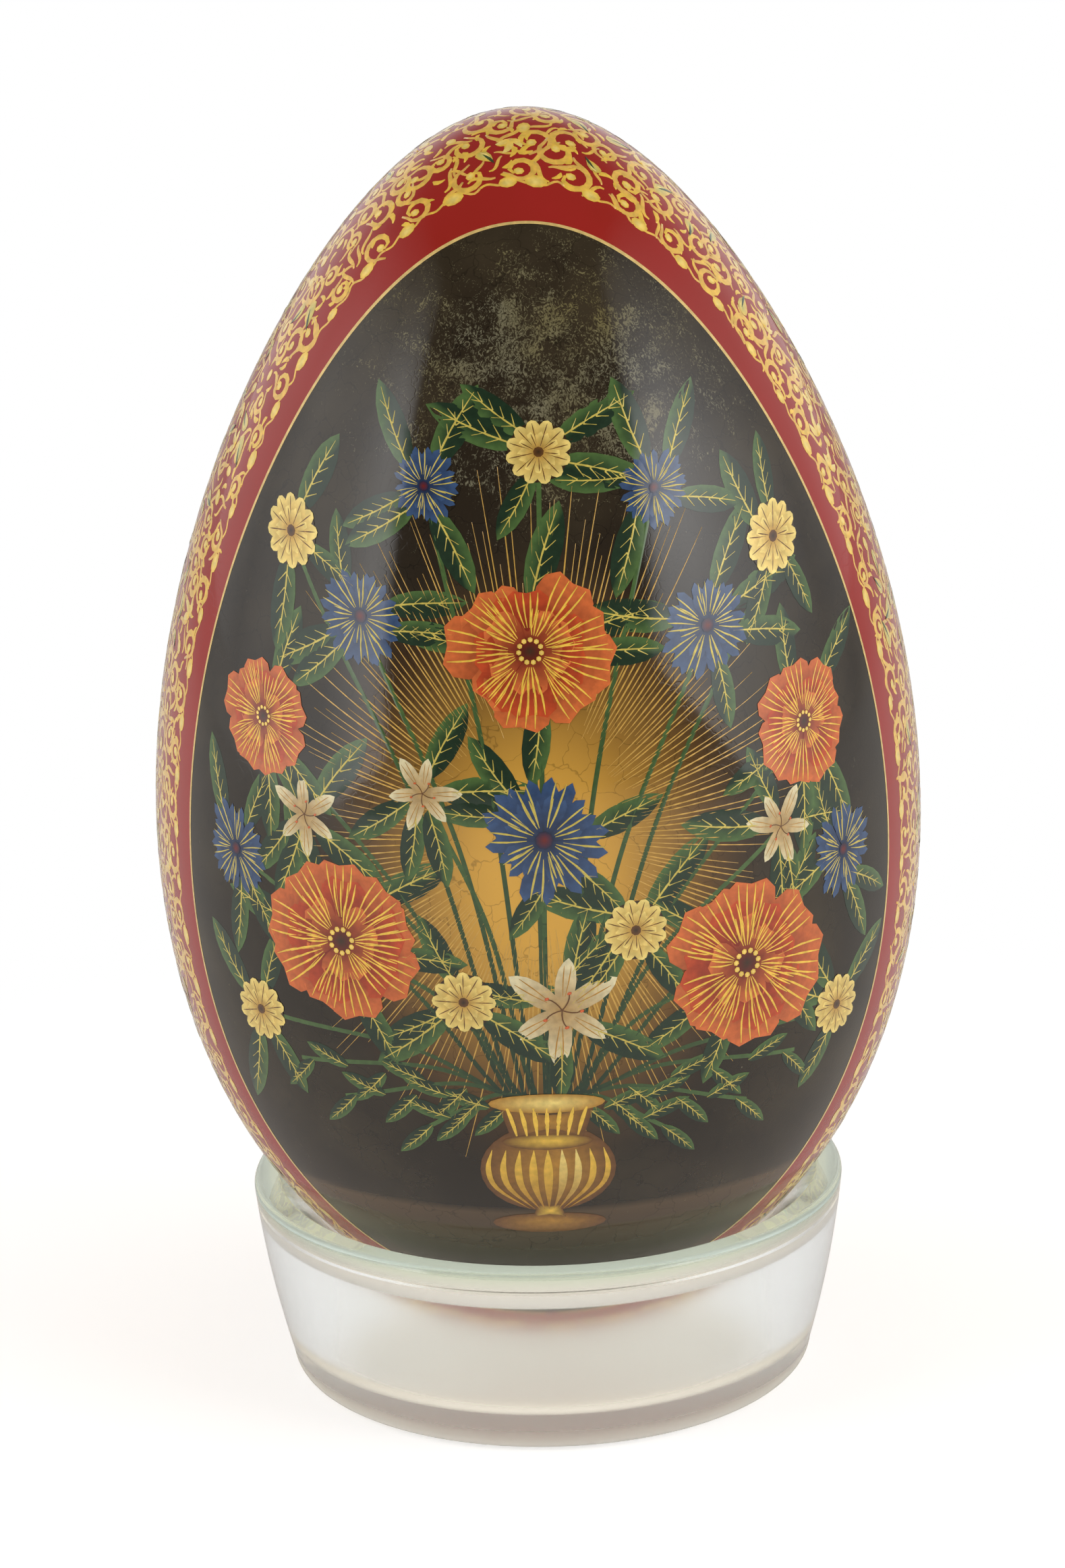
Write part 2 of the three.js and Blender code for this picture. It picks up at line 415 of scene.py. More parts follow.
def arc(centre, radius, start, end, steps):
    """Points of an arc in the outline's plane, angles in degrees."""
    angles = np.radians(np.linspace(start, end, steps + 1))
    return [(centre[0] + radius * math.cos(a), centre[1] + radius * math.sin(a)) for a in angles]


# Brushwork on a flat ground, in mm, before it is laid on the egg

def shades(first, last, amounts):
    """Colours between two, one for each amount from 0 to 1."""
    amounts = np.clip(np.asarray(amounts, float), 0, 1)[:, None]
    return np.array(first) * (1 - amounts) + np.array(last) * amounts


def close_set(path, widths):
    """A path and its widths, with more points where it has fewer than one for each longest step."""
    widths = np.broadcast_to(widths, len(path))
    arcs = np.concatenate([[0], np.cumsum(np.linalg.norm(np.diff(path, axis=0), axis=1))])
    count = math.ceil(arcs[-1] / LONGEST_STEP) + 1
    if count <= len(path):
        return path, widths
    marks = np.linspace(0, arcs[-1], count)
    return (np.stack([np.interp(marks, arcs, path[:, i]) for i in (0, 1)], axis=1),
            np.interp(marks, arcs, widths))


class Brushwork:
    """Closed strokes and petals of paint, each a low ridge or dome with its root in the ground."""

    def __init__(self):
        self.parts = []

    def stroke(self, path, widths, pigment, lift=0.03, last=None):
        """A stroke along a path, as wide as given at each step, running from one colour to a last."""
        path, widths = close_set(np.asarray(path, float), widths)
        count = len(path)
        along = np.gradient(path, axis=0)
        along /= np.linalg.norm(along, axis=1, keepdims=True) + 1e-9
        widths = np.maximum(widths, NARROWEST_STROKE)
        side = np.stack([-along[:, 1], along[:, 0]], axis=1) * widths[:, None] / 2
        places = np.stack([path + side, path, path - side], axis=1).reshape(-1, 2)
        lifts = np.tile([lift - STROKE_RIDGE, lift, lift - STROKE_RIDGE], count)
        pigments = np.repeat(shades(pigment, last or pigment, np.linspace(0, 1, count)), 3, axis=0)
        faces = [(0, 2, 1), (3 * count - 3, 3 * count - 2, 3 * count - 1)]
        for a in range(0, 3 * count - 3, 3):
            faces += [(a, a + 1, a + 4, a + 3), (a + 1, a + 2, a + 5, a + 4), (a + 2, a, a + 3, a + 5)]
        self.parts.append((places, lifts, pigments, faces))

    def petal(self, outline, heart, edge, middle, lift=0.03):
        """A filled shape round its heart, from edge colours, one or many, to the middle's colour."""
        outline = np.asarray(outline, float)
        following = np.roll(outline, -1, axis=0)
        area = np.sum(outline[:, 0] * following[:, 1] - following[:, 0] * outline[:, 1])
        edge = np.broadcast_to(edge, (len(outline), 4))
        if area < 0:
            outline = outline[::-1]
            edge = edge[::-1]
        count = len(outline)
        from_heart = outline - heart
        rings = math.ceil(np.linalg.norm(from_heart, axis=1).max() / LONGEST_STEP)
        shares = [1 - k / rings for k in range(rings)]
        places = np.concatenate([heart + from_heart * share for share in shares] + [[heart, heart]])
        lifts = [np.full(count, lift - PETAL_DOME * share) for share in shares] + [[lift, ROOT]]
        pigments = [edge * share + np.array(middle) * (1 - share) for share in shares]
        pigments.append([middle, middle])
        last_ring = (rings - 1) * count
        faces = []
        for k in range(count):
            after = (k + 1) % count
            for outer in range(0, last_ring, count):
                inner = outer + count
                faces.append((outer + k, outer + after, inner + after, inner + k))
            faces.append((last_ring + k, last_ring + after, rings * count))
            faces.append((after, k, rings * count + 1))
        self.parts.append((places, np.concatenate(lifts), np.concatenate(pigments), faces))

    def add(self, other, centre=(0, 0), angle=0.0, size=1.0, lift=0.0):
        """Another piece of brushwork, turned by an angle, scaled and moved."""
        c, s = size * math.cos(angle), size * math.sin(angle)
        turn = np.array([[c, s], [-s, c]])
        for places, lifts, pigments, faces in other.parts:
            self.parts.append((places @ turn + centre, lifts + lift, pigments, faces))

    def whole(self):
        """Flat places and lifts of all parts."""
        return [np.concatenate([part[i] for part in self.parts]) for i in (0, 1)]

    def make_mesh(self, name, points):
        """Mesh of all parts with their points at given places, which keeps their pigments."""
        starts = np.cumsum([0] + [len(part[0]) for part in self.parts])
        faces = [tuple(start + i for i in face)
                 for start, part in zip(starts.tolist(), self.parts) for face in part[3]]
        mesh = bpy.data.meshes.new(name)
        mesh.from_pydata(points.tolist(), [], faces)
        mesh.shade_smooth()
        mesh.set_sharp_from_angle(angle=math.radians(PAINT_CREASE))
        give_attribute(mesh, "pigment", "FLOAT_COLOR", np.concatenate([part[2] for part in self.parts]))
        return mesh

    def as_motif(self, name):
        """Flat mesh in metres that keeps its lifts as an attribute."""
        places, lifts = self.whole()
        mesh = self.make_mesh(name, np.column_stack([places * MM, np.zeros(len(places))]))
        give_attribute(mesh, "lift", "FLOAT", lifts * MM)
        return mesh

    def on_panel(self, name, material):
        """Object on the egg, from places in the panel's own measures."""
        places, lifts = self.whole()
        points = panel_points(places)
        mesh = self.make_mesh(name, points + egg_normal(points) * lifts[:, None] * MM)
        mesh.materials.append(material)
        return link(bpy.data.objects.new(name, mesh))


def taper(count, widest, place=0.5, least=0.05):
    """Widths of a stroke that swells to its widest at a place between 0 and 1."""
    t = np.linspace(0, 1, count)
    rise = np.where(t < place, t / place, (1 - t) / (1 - place))
    return least + (widest - least) * np.sin(rise * math.pi / 2)


def curling_path(length, first, last, steps, start=(0.0, 0.0), heading=0.0):
    """Path whose curvature, in 1/mm, runs evenly from a first to a last value."""
    t = (np.arange(steps) + 0.5) / steps
    turn = heading + np.cumsum(first + (last - first) * t) * length / steps
    walk = np.stack([np.cos(turn), np.sin(turn)], axis=1) * length / steps
    return np.concatenate([[start], start + np.cumsum(walk, axis=0)])


def through(corners, steps=6):
    """Smooth path through corner points."""
    corners = np.asarray(corners, float)
    padded = np.concatenate([[2 * corners[0] - corners[1]], corners, [2 * corners[-1] - corners[-2]]])
    path = []
    for a, b, c, d in zip(padded, padded[1:], padded[2:], padded[3:]):
        for t in np.arange(steps) / steps:
            path.append(0.5 * (2 * b + (c - a) * t + (2 * a - 5 * b + 4 * c - d) * t ** 2
                               + (3 * b - a - 3 * c + d) * t ** 3))
    return np.array(path + [corners[-1]])


def oval(length, width, points=9, point=0.0):
    """Outline of an oval, drawn out towards +X when point is over 0."""
    a = np.linspace(0, 2 * math.pi, points, endpoint=False)
    return np.stack([length / 2 * np.cos(a),
                     width / 2 * np.sin(a) * np.sin(a / 2) ** (2 * point)], axis=1)


# Colours of the paint: the last value runs from 0, tempera, to 1, powdered gold
GOLD = colour("#F8CA4C", 1)
PALE_GOLD = colour("#FBE083", 1)
THIN_GOLD = colour("#EDB95C", 1)
LINE_GOLD = colour("#E6C47A", 1)
OLIVE_GOLD = colour("#D2BC58", 0.7)
LEAF_TINT = colour("#C9C06C", 0.3)
SAP_SHADE = colour("#3C4B2B", 0)


# Scrollwork motifs

def make_scroll(hand, radius, share):
    """An open ring with a thin tail that swings away and a bud hooked inside: share is how much of the
    ring is drawn."""
    paint = Brushwork()
    tail = curling_path(1.9, -0.5 * hand, -0.1 * hand, 2)
    turned_by = -0.3 * hand * 1.9
    ring = curling_path(2 * math.pi * radius * share, hand / radius, hand * 1.08 / radius, 9,
                        tail[-1], turned_by)
    turned_by += hand * 1.04 * 2 * math.pi * share
    hook = curling_path(1.35, hand * 1.3, hand * 1.9, 2, ring[-1], turned_by)
    path = np.concatenate([tail, ring[1:], hook[1:]]) - (ring.min(axis=0) + ring.max(axis=0)) / 2
    paint.stroke(path, taper(len(path), 0.8, 0.55, 0.26), THIN_GOLD, 0.03, last=GOLD)
    paint.petal(oval(1.3, 1.1, 7) + path[-1], path[-1], GOLD, PALE_GOLD, 0.042)
    return paint


def make_wave(hand):
    """A thin line that swings from one side to the other, thicker in its middle."""
    paint = Brushwork()
    path = curling_path(3.4, hand * 1.2, -hand * 1.3, 7, (-1.5, 0), -hand * 0.8)
    paint.stroke(path, taper(8, 0.5, 0.5, 0.22), THIN_GOLD, 0.024, last=GOLD)
    return paint


def make_leaf(hand, length, width):
    """A round-ended leaf, tinted over gold, with a dark shade drawn in from its tip."""
    paint = Brushwork()
    outline = oval(length, width, 10, 0.35)
    outline[:, 1] += hand * 0.1 * outline[:, 0] ** 2
    edge = shades(OLIVE_GOLD, GOLD, np.linspace(0, 1, 10))
    paint.petal(outline, (-0.15 * length, 0), edge, LEAF_TINT, 0.045)
    vein = [(0.62 * length, 0.3 * hand), (0.22 * length, 0), (-0.18 * length, -0.12 * hand)]
    paint.stroke(through(vein, 2), taper(5, 0.4, 0.4), SAP_SHADE, 0.062)
    gleam = [(-0.36 * length, -0.2 * hand), (-0.1 * length, -0.35 * hand), (0.2 * length, -0.2 * hand)]
    paint.stroke(gleam, (0.06, 0.26, 0.06), PALE_GOLD, 0.06)
    return paint


def make_oval(length, width):
    """An oval berry, strung on the thin line that passes under it."""
    paint = Brushwork()
    paint.petal(oval(length, width, 9), (0.1, 0.1), GOLD, PALE_GOLD, 0.042)
    return paint


def make_flame(hand):
    """Three pointed leaves that fan out from one foot."""
    paint = Brushwork()
    for k, (length, angle) in enumerate(((2.3, -0.75), (3.0, 0.15), (2.1, 1.05))):
        path = curling_path(length, hand * 0.1, hand * 0.55, 4, (-1.1, 0), hand * angle)
        paint.stroke(path, taper(5, 1.0, 0.5, 0.1), GOLD, 0.032 + 0.005 * k, last=PALE_GOLD)
    return paint


def make_speck(hand):
    """A single comma that fills a gap."""
    paint = Brushwork()
    path = curling_path(1.7, hand * 0.3, hand * 1.3, 4, (-0.7, 0))
    paint.stroke(path, taper(5, 0.62, 0.7, 0.14), GOLD, 0.026)
    return paint


def make_tendril(hand, sway):
    """A thin wavy line, 1 mm long before it is stretched from one motif to the next."""
    paint = Brushwork()
    t = np.linspace(0, 1, 9)
    path = np.stack([t, hand * sway * np.sin(t * 2 * math.pi)], axis=1)
    paint.stroke(path, 0.1, THIN_GOLD, 0.022, last=GOLD)
    return paint


def make_scroll_motifs():
    """Collection of motifs for the painting tree and the numbers of each kind in it."""
    hands = (1, -1)
    rings = ((1.5, 0.78), (1.25, 0.7), (1.7, 0.66))
    leaves = ((3.3, 2.3), (2.7, 1.8))
    kinds = {
        "scroll": [make_scroll(hand, radius, share) for hand in hands for radius, share in rings],
        "wave": [make_wave(hand) for hand in hands],
        "leaf": [make_leaf(hand, length, width) for hand in hands for length, width in leaves],
        "oval": [make_oval(2.1, 1.45), make_oval(1.7, 1.25)],
        "flame": [make_flame(hand) for hand in hands],
        "speck": [make_speck(hand) for hand in hands],
        "tendril": [make_tendril(hand, sway) for hand in hands for sway in (0.08, 0.14)],
    }
    collection = bpy.data.collections.new("scrollwork motifs")
    numbers = {}
    for kind, motifs in kinds.items():
        numbers[kind] = []
        for motif in motifs:
            number = len(collection.objects)
            name = f"motif_{number:02d}"
            collection.objects.link(bpy.data.objects.new(name, motif.as_motif(name)))
            numbers[kind].append(number)
    return collection, numbers


class Layout:
    """Places, kinds, directions and sizes of the motifs that the painting tree lays on the egg."""

    def __init__(self):
        self.rows = []

    def put(self, place, motif, heading, size):
        """Notes one motif, with its heading brought into the egg's surface."""
        normal = egg_normal(place[None])[0]
        aside = np.cross(normal, heading)
        self.rows.append((place, motif, np.cross(aside, normal), size))

    def tie(self, places, tendrils):
        """Tendrils from each place to the next."""
        for place, following in zip(places, places[1:]):
            distance = math.dist(place, following)
            way = (following - place) / distance
            self.put(place, chance.choice(tendrils), way, [distance / MM, TENDRIL_SPREAD, 1.0])

    def lay(self, name, motifs, egg, material, chosen):
        """Object made of the motifs whose places are chosen."""
        rows = [row for row in self.rows if chosen(row[0])]
        places, numbers, headings, sizes = (np.array(column) for column in zip(*rows))
        mesh = bpy.data.meshes.new(name)
        mesh.from_pydata(places.tolist(), [], [])
        give_attribute(mesh, "motif", "INT", numbers.astype(np.int32))
        give_attribute(mesh, "facing", "FLOAT_VECTOR", egg_normal(places))
        give_attribute(mesh, "heading", "FLOAT_VECTOR", headings)
        give_attribute(mesh, "size", "FLOAT_VECTOR", sizes)
        return plain_mesh(name, mesh, PAINTING_TREE, {
            "Motifs": motifs, "Egg": egg, "Material": material})


def scattered(taken, spacing, tries, inset):
    """Places on the red, kept a spacing from each other and from those already taken."""
    weights = np.cumsum(OUTLINE_RADII * OUTLINE_STEPS)
    heights = np.interp(chance.random(tries), weights / weights[-1], OUTLINE_HEIGHTS)
    points = on_egg(chance.random(tries) * 2 * math.pi, heights)
    on_red = (panel_reach(points) < -RED_BAND - inset * MM) & (heights > EGG_BASE + SCROLL_END * MM)
    sides = (-1, 0, 1)
    grid = {}
    for point in taken:
        grid.setdefault(tuple(np.floor(point / spacing).astype(int)), []).append(point)
    kept = []
    for point in points[on_red]:
        a, b, c = np.floor(point / spacing).astype(int).tolist()
        near = [p for i in sides for j in sides for k in sides
                for p in grid.get((a + i, b + j, c + k), [])]
        if all(math.dist(point, p) > spacing for p in near):
            grid.setdefault((a, b, c), []).append(point)
            kept.append(point)
    return kept


def arrange_scrollwork(numbers):
    """A row of motifs along the band, an even scatter over the rest, fillers and the ties."""
    layout = Layout()
    row = panel_outline(-RED_BAND - ROW_INSET * MM, ROW_SPACING * MM)
    row = row[:len(row) // 2 * 2]
    edge = panel_outline(-RED_BAND - EDGE_INSET * MM, ROW_SPACING * MM)
    field = scattered(row, SCATTER_SPACING * MM, SCATTER_TRIES, SCATTER_INSET)
    for k, place in enumerate(row):
        along = row[(k + 1) % len(row)] - row[k - 1]
        heading = along / np.linalg.norm(along)
        if k % 2:
            near = edge[np.argmin(np.linalg.norm(edge - place, axis=1))]
            layout.put(near, chance.choice(numbers["oval"]), heading,
                       [1.05 + 0.2 * chance.random()] * 3)
        else:
            layout.put(place, chance.choice(numbers["scroll"]), chance.standard_normal(3),
                       [0.92 + 0.1 * chance.random()] * 3)
    layout.tie(edge, numbers["tendril"])
    for place in field:
        kind = chance.choice(["scroll", "leaf", "oval", "flame"], p=[0.56, 0.2, 0.13, 0.11])
        layout.put(place, chance.choice(numbers[kind]), chance.standard_normal(3),
                   [0.86 + 0.24 * chance.random()] * 3)
    taken = np.concatenate([row, field])
    for place in scattered(taken, FILLER_SPACING * MM, FILLER_TRIES, FILLER_INSET):
        kind = chance.choice(["speck", "wave"], p=[0.45, 0.55])
        layout.put(place, chance.choice(numbers[kind]), chance.standard_normal(3),
                   [0.8 + 0.4 * chance.random()] * 3)
    return layout


# Bouquet on the panel: petals, leaves and a gilt vase in a folk painter's manner

VERMILION = colour("#CC4F25", 0)
ORANGE = colour("#E0743A", 0)
MADDER = colour("#701B10", 0)
NAVY = colour("#17233F", 0)
SLATE_BLUE = colour("#3D577E", 0)
CREAM = colour("#E9DDB2", 0)
BUFF = colour("#B58F55", 0)
DARK_GREEN = colour("#1F3320", 0)
MID_GREEN = colour("#4F6B37", 0)
UMBER = colour("#3B2A18", 0)
BROWN = colour("#6B4420", 0)
DEEP_GOLD = colour("#B9852F", 1)
RAY_GOLD = colour("#CFA24C", 1)


def petal_outline(length, width, notch=0.0, fullness=0.6, points=14):
    """Outline of a petal that grows from the origin along +X."""
    a = np.linspace(0, 2 * math.pi, points, endpoint=False)
    x = length * (1 - np.cos(a)) / 2
    y = width / 2 * np.sin(a) * (1 - fullness + fullness * 1.6 * x / length)
    x = x - notch * length * np.exp(-(y / (0.16 * width)) ** 2) * (x > 0.6 * length)
    return np.stack([x, y], axis=1)


def make_petal(length, width, base, tip, vein, veins=3, notch=0.06, fullness=0.6, lift=0.03):
    """A petal that runs from its base's colour to its tip's, with fine veins."""
    paint = Brushwork()
    outline = petal_outline(length, width, notch, fullness)
    edge = shades(base, tip, (outline[:, 0] / length) ** 1.2)
    middle = shades(base, tip, [0.42])[0]
    paint.petal(outline, (0.55 * length, 0), edge, middle, lift)
    for k in range(veins):
        spread = (k - (veins - 1) / 2) / max(veins, 2) * 1.25
        path = through([(0.28 * length, spread * width * 0.16), (0.6 * length, spread * width * 0.42),
                        (0.9 * length, spread * width * 0.52)], 2)
        paint.stroke(path, taper(5, 0.17, 0.6), vein, lift + 0.012)
    return paint


def make_peony():
    """Full bloom, some 15 mm across: three rings of notched petals about a dark heart."""
    paint = Brushwork()
    rings = ((9, 7.6, 5.4, 1.0, MADDER, ORANGE), (8, 5.8, 4.3, 0.7, MADDER, VERMILION),
             (6, 4.0, 3.2, 0.4, MADDER, ORANGE))
    for ring, (count, length, width, inner, base, tip) in enumerate(rings):
        for k in range(count):
            angle = 2 * math.pi * (k + 0.5 * ring) / count + 0.12 * chance.standard_normal()
            size = 1 + 0.08 * chance.standard_normal()
            petal = make_petal(length - inner, width, base, tip, GOLD, 4, 0.1)
            start = (inner * math.cos(angle), inner * math.sin(angle))
            paint.add(petal, start, angle, size, 0.012 * ring + 0.005 * (k % 2))
    paint.petal(oval(2.4, 2.2), (0, 0), MADDER, UMBER, 0.075)
    for k in range(11):
        angle = 2 * math.pi * k / 11
        anther = (1.05 * math.cos(angle), 1.05 * math.sin(angle))
        paint.petal(oval(0.5, 0.5, 6) + anther, anther, GOLD, PALE_GOLD, 0.09)
    return paint


def make_cornflower():
    """Bloom, some 10 mm across, with narrow, toothed florets."""
    paint = Brushwork()
    for ring, (count, length) in enumerate(((10, 5.2), (8, 3.6))):
        for k in range(count):
            angle = 2 * math.pi * (k + 0.5 * ring) / count + 0.08 * chance.standard_normal()
            petal = make_petal(length, length * 0.5, NAVY, SLATE_BLUE, OLIVE_GOLD, 2, 0.24, 0.95)
            size = 1 + 0.07 * chance.standard_normal()
            paint.add(petal, (0, 0), angle, size, 0.012 * ring + 0.004 * (k % 2))
    paint.petal(oval(1.5, 1.5), (0, 0), NAVY, MADDER, 0.07)
    return paint


def make_rosette():
    """Gilt bloom, some 9 mm across, brown between its petals."""
    paint = Brushwork()
    paint.petal(oval(8.6, 8.6, 20), (0, 0), UMBER, BROWN, 0.03)
    for ring, (count, length, width) in enumerate(((12, 4.6, 2.0), (9, 3.0, 1.7))):
        for k in range(count):
            angle = 2 * math.pi * (k + 0.5 * ring) / count
            petal = make_petal(length, width, DEEP_GOLD, PALE_GOLD, BROWN, 1, 0.0, 0.7)
            paint.add(petal, (0, 0), angle, 1, 0.012 + 0.012 * ring)
    paint.petal(oval(1.5, 1.5), (0, 0), BROWN, UMBER, 0.08)
    return paint


def make_lily():
    """Cream bloom, some 14 mm across, with six pointed petals and long stamens."""
    paint = Brushwork()
    for k in range(6):
        angle = 2 * math.pi * k / 6 + 0.1 * chance.standard_normal()
        petal = make_petal(7.2, 2.9, BUFF, CREAM, DEEP_GOLD, 2, -0.06, 0.1)
        paint.add(petal, (0, 0), angle, 1 - 0.12 * (k % 2), 0.006 * (k % 2))
    for k in range(5):
        angle = 2 * math.pi * k / 5 + 0.4
        path = curling_path(2.4, 0.1, 0.5, 4, (0, 0), angle)
        paint.stroke(path, 0.16, BROWN, 0.06)
        paint.petal(oval(0.6, 0.4, 6) + path[-1], path[-1], VERMILION, ORANGE, 0.07)
    return paint


def make_spray_leaf(length):
    """A pointed leaf, dark on one side of its gold midrib."""
    paint = Brushwork()
    outline = petal_outline(length, 0.36 * length, -0.08, 0.05)
    edge = shades(DARK_GREEN, MID_GREEN, 0.5 + 0.5 * np.sign(outline[:, 1]))
    paint.petal(outline, (0.45 * length, 0), edge, DARK_GREEN, 0.028)
    midrib = through([(0, 0), (0.5 * length, 0.02 * length), (0.98 * length, 0)], 3)
    paint.stroke(midrib, taper(7, 0.2, 0.3), OLIVE_GOLD, 0.042)
    for k in range(4):
        x = (0.2 + 0.17 * k) * length
        for side in (1, -1):
            rib = [(x, 0), (x + 0.13 * length, side * 0.105 * length * (1 - 0.12 * k))]
            paint.stroke(rib, (0.14, 0.05), OLIVE_GOLD, 0.04)
    return paint


def make_rays(centre, count, inner, outer):
    """Fine gold lines that spread from a centre."""
    paint = Brushwork()
    for k in range(count):
        angle = 2 * math.pi * (k + 0.6 * chance.random()) / count
        way = np.array([math.cos(angle), math.sin(angle) * 1.25])
        first = inner * (1 + 0.5 * chance.random())
        last = outer * (0.62 + 0.38 * chance.random())
        path = [centre + way * (first + (last - first) * t) for t in np.linspace(0, 1, 5)]
        paint.stroke(path, taper(5, 0.13 + 0.08 * chance.random(), 0.3), RAY_GOLD, 0.02)
    return paint


def make_vase():
    """A gilt urn, 22 mm tall, with a foot, a gadrooned bowl and a flared lip."""
    paint = Brushwork()
    paint.petal(oval(13, 3.6, 20) + (0, -10.6), (0, -10.2), BROWN, DEEP_GOLD, 0.03)
    paint.petal([(-1.9, -9.6), (1.9, -9.6), (1.3, -7.4), (-1.3, -7.4)], (0.2, -8.4), BROWN, GOLD, 0.035)
    paint.petal(oval(15.5, 13.5, 28) + (0, -1.6), (1.2, -1), BROWN, DEEP_GOLD, 0.034)
    for k in range(-4, 5):
        x = 1.55 * k
        curve = [(0.35 * x, -8.0), (0.95 * x, -4.6), (1.1 * x, -1.6), (1.02 * x, 1.4)]
        pale = PALE_GOLD if k in (1, 2) else GOLD
        widths = taper(13, 1.05 - 0.1 * abs(k), 0.6)
        paint.stroke(through(curve, 4), widths, DEEP_GOLD, 0.055, last=pale)
    paint.petal(oval(10.4, 2.3, 16) + (0, 2.6), (0.5, 2.8), BROWN, GOLD, 0.06)
    paint.petal([(-4.1, 3.2), (4.1, 3.2), (5.4, 7.6), (-5.4, 7.6)], (0.6, 5.4), BROWN, DEEP_GOLD, 0.058)
    for k in range(-3, 4):
        paint.stroke([(1.15 * k, 3.5), (1.3 * k, 5.5), (1.5 * k, 7.4)], (0.2, 0.55, 0.3), GOLD, 0.07)
    paint.petal(oval(13.2, 2.6, 20) + (0, 8), (0.6, 8.1), DEEP_GOLD, PALE_GOLD, 0.075)
    return paint


# Where the blooms stand on the panel: way round and way up in mm, turn and size
PEONIES = ((-23.5, 58, 0.2, 1.35), (24, 54, 0.7, 1.4), (-0.5, 92, 0.4, 1.2), (33, 80, 1.1, 0.95),
           (-34, 82, 0.1, 0.9))
CORNFLOWERS = ((0.5, 71, 0.0, 1.4), (-20, 95, 0.3, 1.05), (20, 93, 0.6, 1.1), (-39, 66, 0.2, 1.0),
               (39, 64, 0.5, 1.0), (-12, 110, 0.9, 0.8), (14, 109, 0.4, 0.85))
ROSETTES = ((-9, 52, 0.0, 0.8), (10.5, 60, 0.2, 0.8), (-30, 103, 0.1, 0.9), (30, 101, 0.4, 0.9),
            (1, 114, 0.2, 0.8), (-36, 47, 0.3, 0.85), (38, 45, 0.5, 0.85))
LILIES = ((2, 51, 0.4, 0.95), (-28, 72, 0.6, 0.65), (29, 69, 0.9, 0.65), (-13, 76, 0.2, 0.6))

# Rays, leaves, vase and stems in the same measures: leaves have a length, and those round a bloom keep
# their tips inside the panel by a margin
RAY_CENTRE = (0, 72)
BLOOM_LEAF = 8.5
SPRAY_LEAF = 7
LEAF_MARGIN = 0.8 * MM
VASE_CENTRE = (0, 31)
VASE_MOUTH = 39
STEM_TIPS = ((-24, 38), (24, 36), (-30, 42), (31, 41), (-14, 35), (14, 34))


def add_stems(paint, tips):
    """Stems from the vase's mouth to their tips, each with one bend."""
    for x, y in tips:
        bend = (0.45 * x, (VASE_MOUTH + y) / 2 + 3)
        stem = through([(0.12 * x, VASE_MOUTH + 1), bend, (x, y)], 12)
        paint.stroke(stem, 0.55, DARK_GREEN, 0.024, last=MID_GREEN)


def add_bloom_leaves(paint, blooms):
    """Five leaves that stick out round each bloom, where their tips stay on the panel."""
    for x, y, reach in blooms:
        for k in range(5):
            angle = 2 * math.pi * (k + chance.random()) / 5
            place = np.array([x + 0.62 * reach * math.cos(angle), y + 0.62 * reach * math.sin(angle)])
            angle += 0.25 * chance.standard_normal()
            size = 0.9 + 0.35 * chance.random()
            tip = place + BLOOM_LEAF * size * np.array([math.cos(angle), math.sin(angle)])
            if panel_reach(panel_points(tip[None]))[0] > LEAF_MARGIN:
                paint.add(make_spray_leaf(BLOOM_LEAF), place, angle, size, 0.004 * k)


def add_spray_leaves(paint):
    """Leaves in turn above and below the bare stems that hang over the vase's mouth."""
    for x, y in STEM_TIPS:
        for k in range(5):
            share = 0.3 + 0.16 * k
            place = (x * share, VASE_MOUTH + (y - VASE_MOUTH) * share + 5 * share * (1 - share))
            angle = math.atan2(-0.35, np.sign(x)) + (0.7 if k % 2 else -0.5) * np.sign(x)
            paint.add(make_spray_leaf(SPRAY_LEAF), place, angle, 0.8, 0.004 * k)


def make_bouquet():
    """The whole bouquet in panel millimetres, back to front."""
    paint = Brushwork()
    paint.add(make_rays(np.array(RAY_CENTRE), 210, 9, 34))
    reaches = ((PEONIES, 7.6), (CORNFLOWERS, 5.2), (ROSETTES, 4.6), (LILIES, 5.0))
    blooms = [(x, y, reach * size) for group, reach in reaches for x, y, _, size in group]
    add_stems(paint, [bloom[:2] for bloom in blooms] + list(STEM_TIPS))
    add_bloom_leaves(paint, blooms)
    add_spray_leaves(paint)
    paint.add(make_vase(), VASE_CENTRE, 0, 1, 0.02)
    for group, maker, lift in ((LILIES, make_lily, 0.02), (CORNFLOWERS, make_cornflower, 0.03),
                               (ROSETTES, make_rosette, 0.04), (PEONIES, make_peony, 0.05)):
        for x, y, turn, size in group:
            paint.add(maker(), (x, y), turn, size, lift)
    return paint


def make_outline_gilding():
    """Gold line on the panel's edge."""
    loop = panel_outline(0, 0.6 * MM)
    turn = np.arctan2(loop[:, 0], -loop[:, 1])
    arcs = np.interp(loop[:, 2], OUTLINE_HEIGHTS, OUTLINE_ARCS) - GIRTH_ARC + GIRTH_HEIGHT - EGG_BASE
    paint = Brushwork()
    paint.stroke(np.stack([turn * radius_at(loop[:, 2]), arcs], axis=1) / MM, 0.36, LINE_GOLD, 0.035)
    return paint


# Materials

def place_in_mm(tree):
    """Place on the piece, in mm."""
    place = add_node(tree, "ShaderNodeTexCoord").outputs["Object"]
    return add_node(tree, "ShaderNodeVectorMath", {
        0: place, "Scale": 1 / MM}, operation="SCALE").outputs[0]


